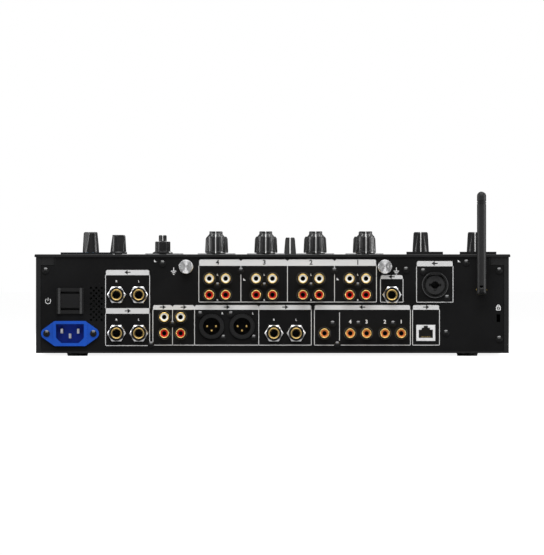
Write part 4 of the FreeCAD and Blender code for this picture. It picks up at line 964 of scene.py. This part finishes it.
def make_knobs():
    for channel in CHANNELS:
        for name in TALL_KNOBS:
            tall_knob(f"channel_{channel}_{name}_knob")
        cone_knob(f"channel_{channel}_selector_knob", (5.5, 5.3, 4.9), 0.8, scallop(10, 0.5),
                  skirt=(7.5, 1.8))
        cone_knob(f"channel_{channel}_colour_knob", (10.1, 9.6, 8.7), 2.0, scallop(24, 0.5),
                  PLATE_TOP + KNOB_LIFT, steps=192)
    scoops = facets(3, 1.25)
    for name, turn in (("headphone_mix", 0.0), ("headphone_level", 0.0), ("effect_depth", 2.36)):
        cone_knob(f"{name}_knob", (7.3, 6.35, 5.8), 1.0, scoops, deepening=True, turn=turn)
    cone_knob("effect_select_knob", (6.9, 6.2, 5.7), 1.2, scoops, skirt=(7.65, 2.2), deepening=True, turn=3.6)
    cone_knob("master_outer_knob", (6.75, 6.7, 6.5), 0.6, scallop(14, 0.4),
              skirt=(8.75, 2.0), line=0, bore=2.0)
    inner_seat = corners("master_outer_knob")[1].z + 0.1
    cone_knob("master_inner_knob", (3.45, 3.4, 3.2), 0.6, scallop(12, 0.3), inner_seat, steps=96, spindle=1.6)


def fader_cap(node, across):
    """A cap drawn in upward, with a white line over its top, and its stem.

    The top is flat where the cap slides across the panel, and a saddle where it slides along it.
    """
    low, high = corners(node)
    centre, half = (low + high) / 2, (high - low) / 2
    half_slide, half_width = half.xy if across else half.yx
    foot, drawn_in = KNOB_SEAT, 0.2
    height = high.z - foot
    turn = math.pi / 2 if across else 0.0
    place = Matrix.Translation((centre.x, centre.y, foot)) @ Matrix.Rotation(turn, 4, "Z")

    def width_at(level):
        return half_width * (1 - drawn_in * level)

    profile = [(-1.0, 0.0), (-0.97, 0.12), (-0.8, 0.86), (-0.74, 0.95), (-0.66, 1.0)]
    if across:
        profile += [(-0.3, 1.0), (0.0, 1.0)]
    else:
        profile += [(-0.52, 0.98), (-0.3, 0.86), (-0.12, 0.8), (0.0, 0.79)]
    saddle = profile[-1][1]
    profile += [(-slide, level) for slide, level in reversed(profile[:-1])]
    form = Form()
    sides = [[(side * width_at(level), slide * half_slide, level * height) for slide, level in profile]
             for side in (1, -1)]
    form.block(*sides, 0, place)

    half_line, line_foot, proud, depth = 0.6, 0.06, 0.14, 0.4
    line_top = saddle * height + (0 if across else proud)
    outer = [(-width_at(line_foot) - proud, line_foot * height), (-width_at(saddle) - proud, line_top)]
    outer += [(-reach, level) for reach, level in reversed(outer)]
    inner = [(reach + math.copysign(depth, -reach), level - depth) for reach, level in outer]
    ends = [[(reach, end * half_line, level) for reach, level in outer + inner[::-1]] for end in (-1, 1)]
    form.block(*ends, 1, place)
    stem_x, stem_y = (2.5, 1.0) if across else (1.0, 2.5)
    form.box((centre.x - stem_x, centre.y - stem_y, low.z), (centre.x + stem_x, centre.y + stem_y, foot), 2)
    form.make(f"{node}_cap", node, [KNOB_DARK, POINTER, BLACK_STEEL], node, bevel=0.25)


def make_faders():
    for channel in CHANNELS:
        fader_cap(f"channel_{channel}_fader", False)
    fader_cap("crossfader", True)


# Print and lamps of the top panel


def ticks(form, node, inner, outer, count=11, sweep=150, width=0.45, sheet=TOP_SHEET, finish=WHITE):
    """Marks round a knob, spread over its turn, with 12 o'clock towards the rear."""
    spot = knob_place(node)
    for index in range(count):
        angle = math.radians(-sweep + 2 * sweep * index / (count - 1))
        along = Vector((math.sin(angle), math.cos(angle)))
        across = Vector((along.y, -along.x)) * width / 2
        near, far = spot + along * inner, spot + along * outer
        form.prism(sheet, [far - across, far + across, near + across, near - across], INK, finish)


def bar(form, u, v, half_u, half_v, finish=WHITE):
    form.prism(TOP_SHEET, rectangle(u - half_u, v - half_v, u + half_u, v + half_v), INK, finish)


def make_top_print():
    form = Form()
    for channel in CHANNELS:
        for name in TALL_KNOBS:
            ticks(form, f"channel_{channel}_{name}_knob", 9.0, 10.4)
        ticks(form, f"channel_{channel}_selector_knob", 8.4, 9.8, 5, 75, 0.7)
        ticks(form, f"channel_{channel}_colour_knob", 11.4, 13.4, width=0.6, sheet=PLATE_SHEET, finish=DARK)
    for name in ("headphone_mix", "headphone_level", "effect_depth", "effect_select"):
        ticks(form, f"{name}_knob", 8.4, 10.0)
    ticks(form, "master_outer_knob", 9.6, 11.2)
    pad_x, pad_y = knob_place("master_outer_knob").x, knob_place("channel_1_colour_knob").y
    half_pad, pad_corner, column, row = 5.4, 1.4, 7.4, 18
    for u in (pad_x - column, pad_x + column):
        for v in (pad_y - row, pad_y, pad_y + row):
            outline = rounded(u - half_pad, v - half_pad, u + half_pad, v + half_pad, [pad_corner] * 4)
            form.prism(PLATE_SHEET, outline, INK, DARK)

    half_line, long_mark, short_mark = 0.25, 4.0, 2.6
    fader_edge, figure_x, crossfader_edge = 7.5, 14.2, 12.5
    channel_size, channel_drop, figure_size = 6.0, 18, 3.4
    columns = [knob_place(f"channel_{channel}_low_knob").x for channel in CHANNELS]
    gap = (columns[1] - columns[0]) / 2
    rear_end, front_end = PANEL_HIGH.y - 10, PANEL_LOW.y + 62
    for x in [columns[0] - gap] + [x + gap for x in columns]:
        bar(form, x, (front_end + rear_end) / 2, half_line, (rear_end - front_end) / 2, PALE)
    for channel, x in zip(CHANNELS, columns):
        fader = f"channel_{channel}_fader"
        start = middle(fader).y
        travel = JOINTS[fader]["range_m"][1] / MM
        form.text(TOP_SHEET, str(channel), channel_size, x, start - channel_drop, INK, WHITE)
        for step in range(11):
            y = start + travel * step / 10
            half = (short_mark if step % 5 else long_mark) / 2
            for side in (-1, 1):
                bar(form, x + side * (fader_edge + half), y, half, half_line)
            if step % 5 == 0:
                form.text(TOP_SHEET, str(step), figure_size, x + figure_x, y, INK, WHITE)
    centre = middle("crossfader")
    first, last = [limit / MM for limit in JOINTS["crossfader"]["range_m"]]
    for step in range(9):
        u = centre.x + first + (last - first) * step / 8
        half = (short_mark if step % 4 else long_mark) / 2
        for side in (-1, 1):
            bar(form, u, centre.y + side * (crossfader_edge + half), half_line, half)
    form.make("top_print", "case", [PRINT, WHITE_PRINT, DARK_PRINT])


def make_meters():
    """Rows of small lamps beside each channel's knobs, and two rows before the master knobs."""
    form = Form()
    pitch, half_x, half_y, sunk, proud = 6.0, 1.5, 2.4, 0.2, 0.14
    beside, before, half_gap = 17.6, 12, 3.2
    first_y = knob_place("channel_1_low_knob").y - before
    master_x = knob_place("master_outer_knob").x
    columns = [knob_place(f"channel_{channel}_low_knob").x + beside for channel in CHANNELS]
    for x in columns + [master_x - half_gap, master_x + half_gap]:
        for step in range(10):
            y = first_y + step * pitch
            finish = 2 if step == 9 else 1 if step > 6 else 0
            form.box((x - half_x, y - half_y, TOP - sunk), (x + half_x, y + half_y, TOP + proud), finish)
    form.make("level_lamps", "case", [GREEN_LAMP, AMBER_LAMP, RED_LAMP], bevel=0.06)


def make_screen_marks():
    """A plain row of bars, a line and a figure on the screen."""
    centre_x, low_y, screen_height = 160, 124.4, 1.7
    bar_foot, shortest, swing, pitch = 8, 6, 9, 3
    line_y, half_line, figure_size, figure_y = 34, 17.5, 11, 46
    sheet = Matrix.Translation((centre_x, low_y, TOP + screen_height))
    form = Form()
    for index in range(12):
        u = (index - 5.5) * pitch
        level = shortest + swing * abs(math.sin(1.3 * index + 0.6))
        form.prism(sheet, rectangle(u - 1, bar_foot, u + 1, bar_foot + level), INK)
    form.text(sheet, "120", figure_size, 0, figure_y, INK)
    form.prism(sheet, rectangle(-half_line, line_y, half_line, line_y + 0.5), INK)
    form.make("screen_marks", "case", [SCREEN_MARK])


# Camera, floor and light


def area_light(name, place, width, depth, watts):
    """A lamp that the camera doesn't see, aimed at the object."""
    target = Vector((0, 0.1, 0.06))
    lamp = bpy.data.lights.new(name, "AREA")
    lamp.shape = "RECTANGLE"
    lamp.size = width
    lamp.size_y = depth
    lamp.energy = watts
    carrier = bpy.data.objects.new(name, lamp)
    carrier.location = place
    carrier.rotation_euler = (target - carrier.location).to_track_quat("-Z", "Y").to_euler()
    carrier.visible_camera = False
    link(carrier)


def for_camera(tree, shown, lighting):
    """A shader that the camera sees as shown, while it lights the object as lighting."""
    path = tree.nodes.new("ShaderNodeLightPath")
    mix = tree.nodes.new("ShaderNodeMixShader")
    tree.links.new(path.outputs["Is Camera Ray"], mix.inputs["Fac"])
    tree.links.new(lighting, mix.inputs[1])
    tree.links.new(shown, mix.inputs[2])
    return mix.outputs["Shader"]


def make_world():
    """White behind the object, and a dim grey room round it."""
    world = bpy.data.worlds.new("studio")
    world.use_nodes = True
    tree = world.node_tree
    colour = (1.0, 1.0, 1.0, 1.0)
    room = set_inputs(tree.nodes["Background"], {"Color": colour, "Strength": 0.2})
    white = set_inputs(tree.nodes.new("ShaderNodeBackground"), {"Color": colour, "Strength": 1.0})
    both = for_camera(tree, white.outputs["Background"], room.outputs["Background"])
    tree.links.new(both, tree.nodes["World Output"].inputs["Surface"])
    bpy.context.scene.world = world


def make_floor():
    """Pale paper that stays light in the shadows."""
    size = 40.0
    mesh = bpy.data.meshes.new("floor")
    mesh.from_pydata([(x, y, 0) for x, y in rectangle(-size, -size, size, size)], [], [(0, 1, 2, 3)])
    paper = grained("floor_paper", (0.4, 0.4, 0.4), 0.8, 0.1, 400, 0.02, 0.02)
    tree = paper.node_tree
    glow = set_inputs(tree.nodes.new("ShaderNodeEmission"), {"Strength": 0.9})
    lit = tree.nodes.new("ShaderNodeAddShader")
    plain = tree.nodes["Principled BSDF"].outputs["BSDF"]
    tree.links.new(plain, lit.inputs[0])
    tree.links.new(glow.outputs["Emission"], lit.inputs[1])
    tree.links.new(for_camera(tree, lit.outputs["Shader"], plain),
                   tree.nodes["Material Output"].inputs["Surface"])
    mesh.materials.append(paper)
    floor = bpy.data.objects.new("floor", mesh)
    link(floor)


def make_lights():
    bpy.context.scene.view_settings.view_transform = "Standard"
    area_light("overhead", (0.0, 0.1, 2.6), 2.4, 1.8, 38)
    area_light("rear_key", (0.0, 1.75, 2.35), 2.6, 1.2, 68)
    area_light("rear_fill", (0.0, 3.0, 1.4), 3.0, 1.2, 24)
    area_light("front_key", (-0.8, -2.4, 2.0), 2.2, 1.2, 55)
    for side, watts in ((1, 30), (-1, 42)):
        area_light(f"side_strip_{side}", (side * 2.0, 0.35, 0.5), 0.6, 1.4, watts)


def make_camera():
    """The photograph's camera: level, straight behind the object and far away."""
    pixels_per_mm = 1.1673
    distance = 9.0
    frame_pixels = 555
    sensor = 36.0
    data = bpy.data.cameras.new("camera")
    data.sensor_width = sensor
    data.lens = pixels_per_mm * distance / MM / frame_pixels * sensor
    data.clip_end = 100.0
    camera = bpy.data.objects.new("camera", data)
    camera.location = (0.34 * MM, REAR * MM + distance, 67.4 * MM)
    camera.rotation_euler = (math.pi / 2, 0.0, math.pi)
    link(camera)
    bpy.context.scene.camera = camera


make_camera()
make_world()
make_floor()
make_lights()
finish_plain_nodes()
finish_cinch()
finish_jacks()
finish_outlets()
finish_combo()
finish_inlet()
finish_data_sockets()
finish_bezels()
make_screws()
make_nuts()
make_socket_faces()
make_ground_terminals()
make_whip_rings()
make_rear_print()
make_knobs()
make_faders()
make_top_print()
make_meters()
make_screen_marks()
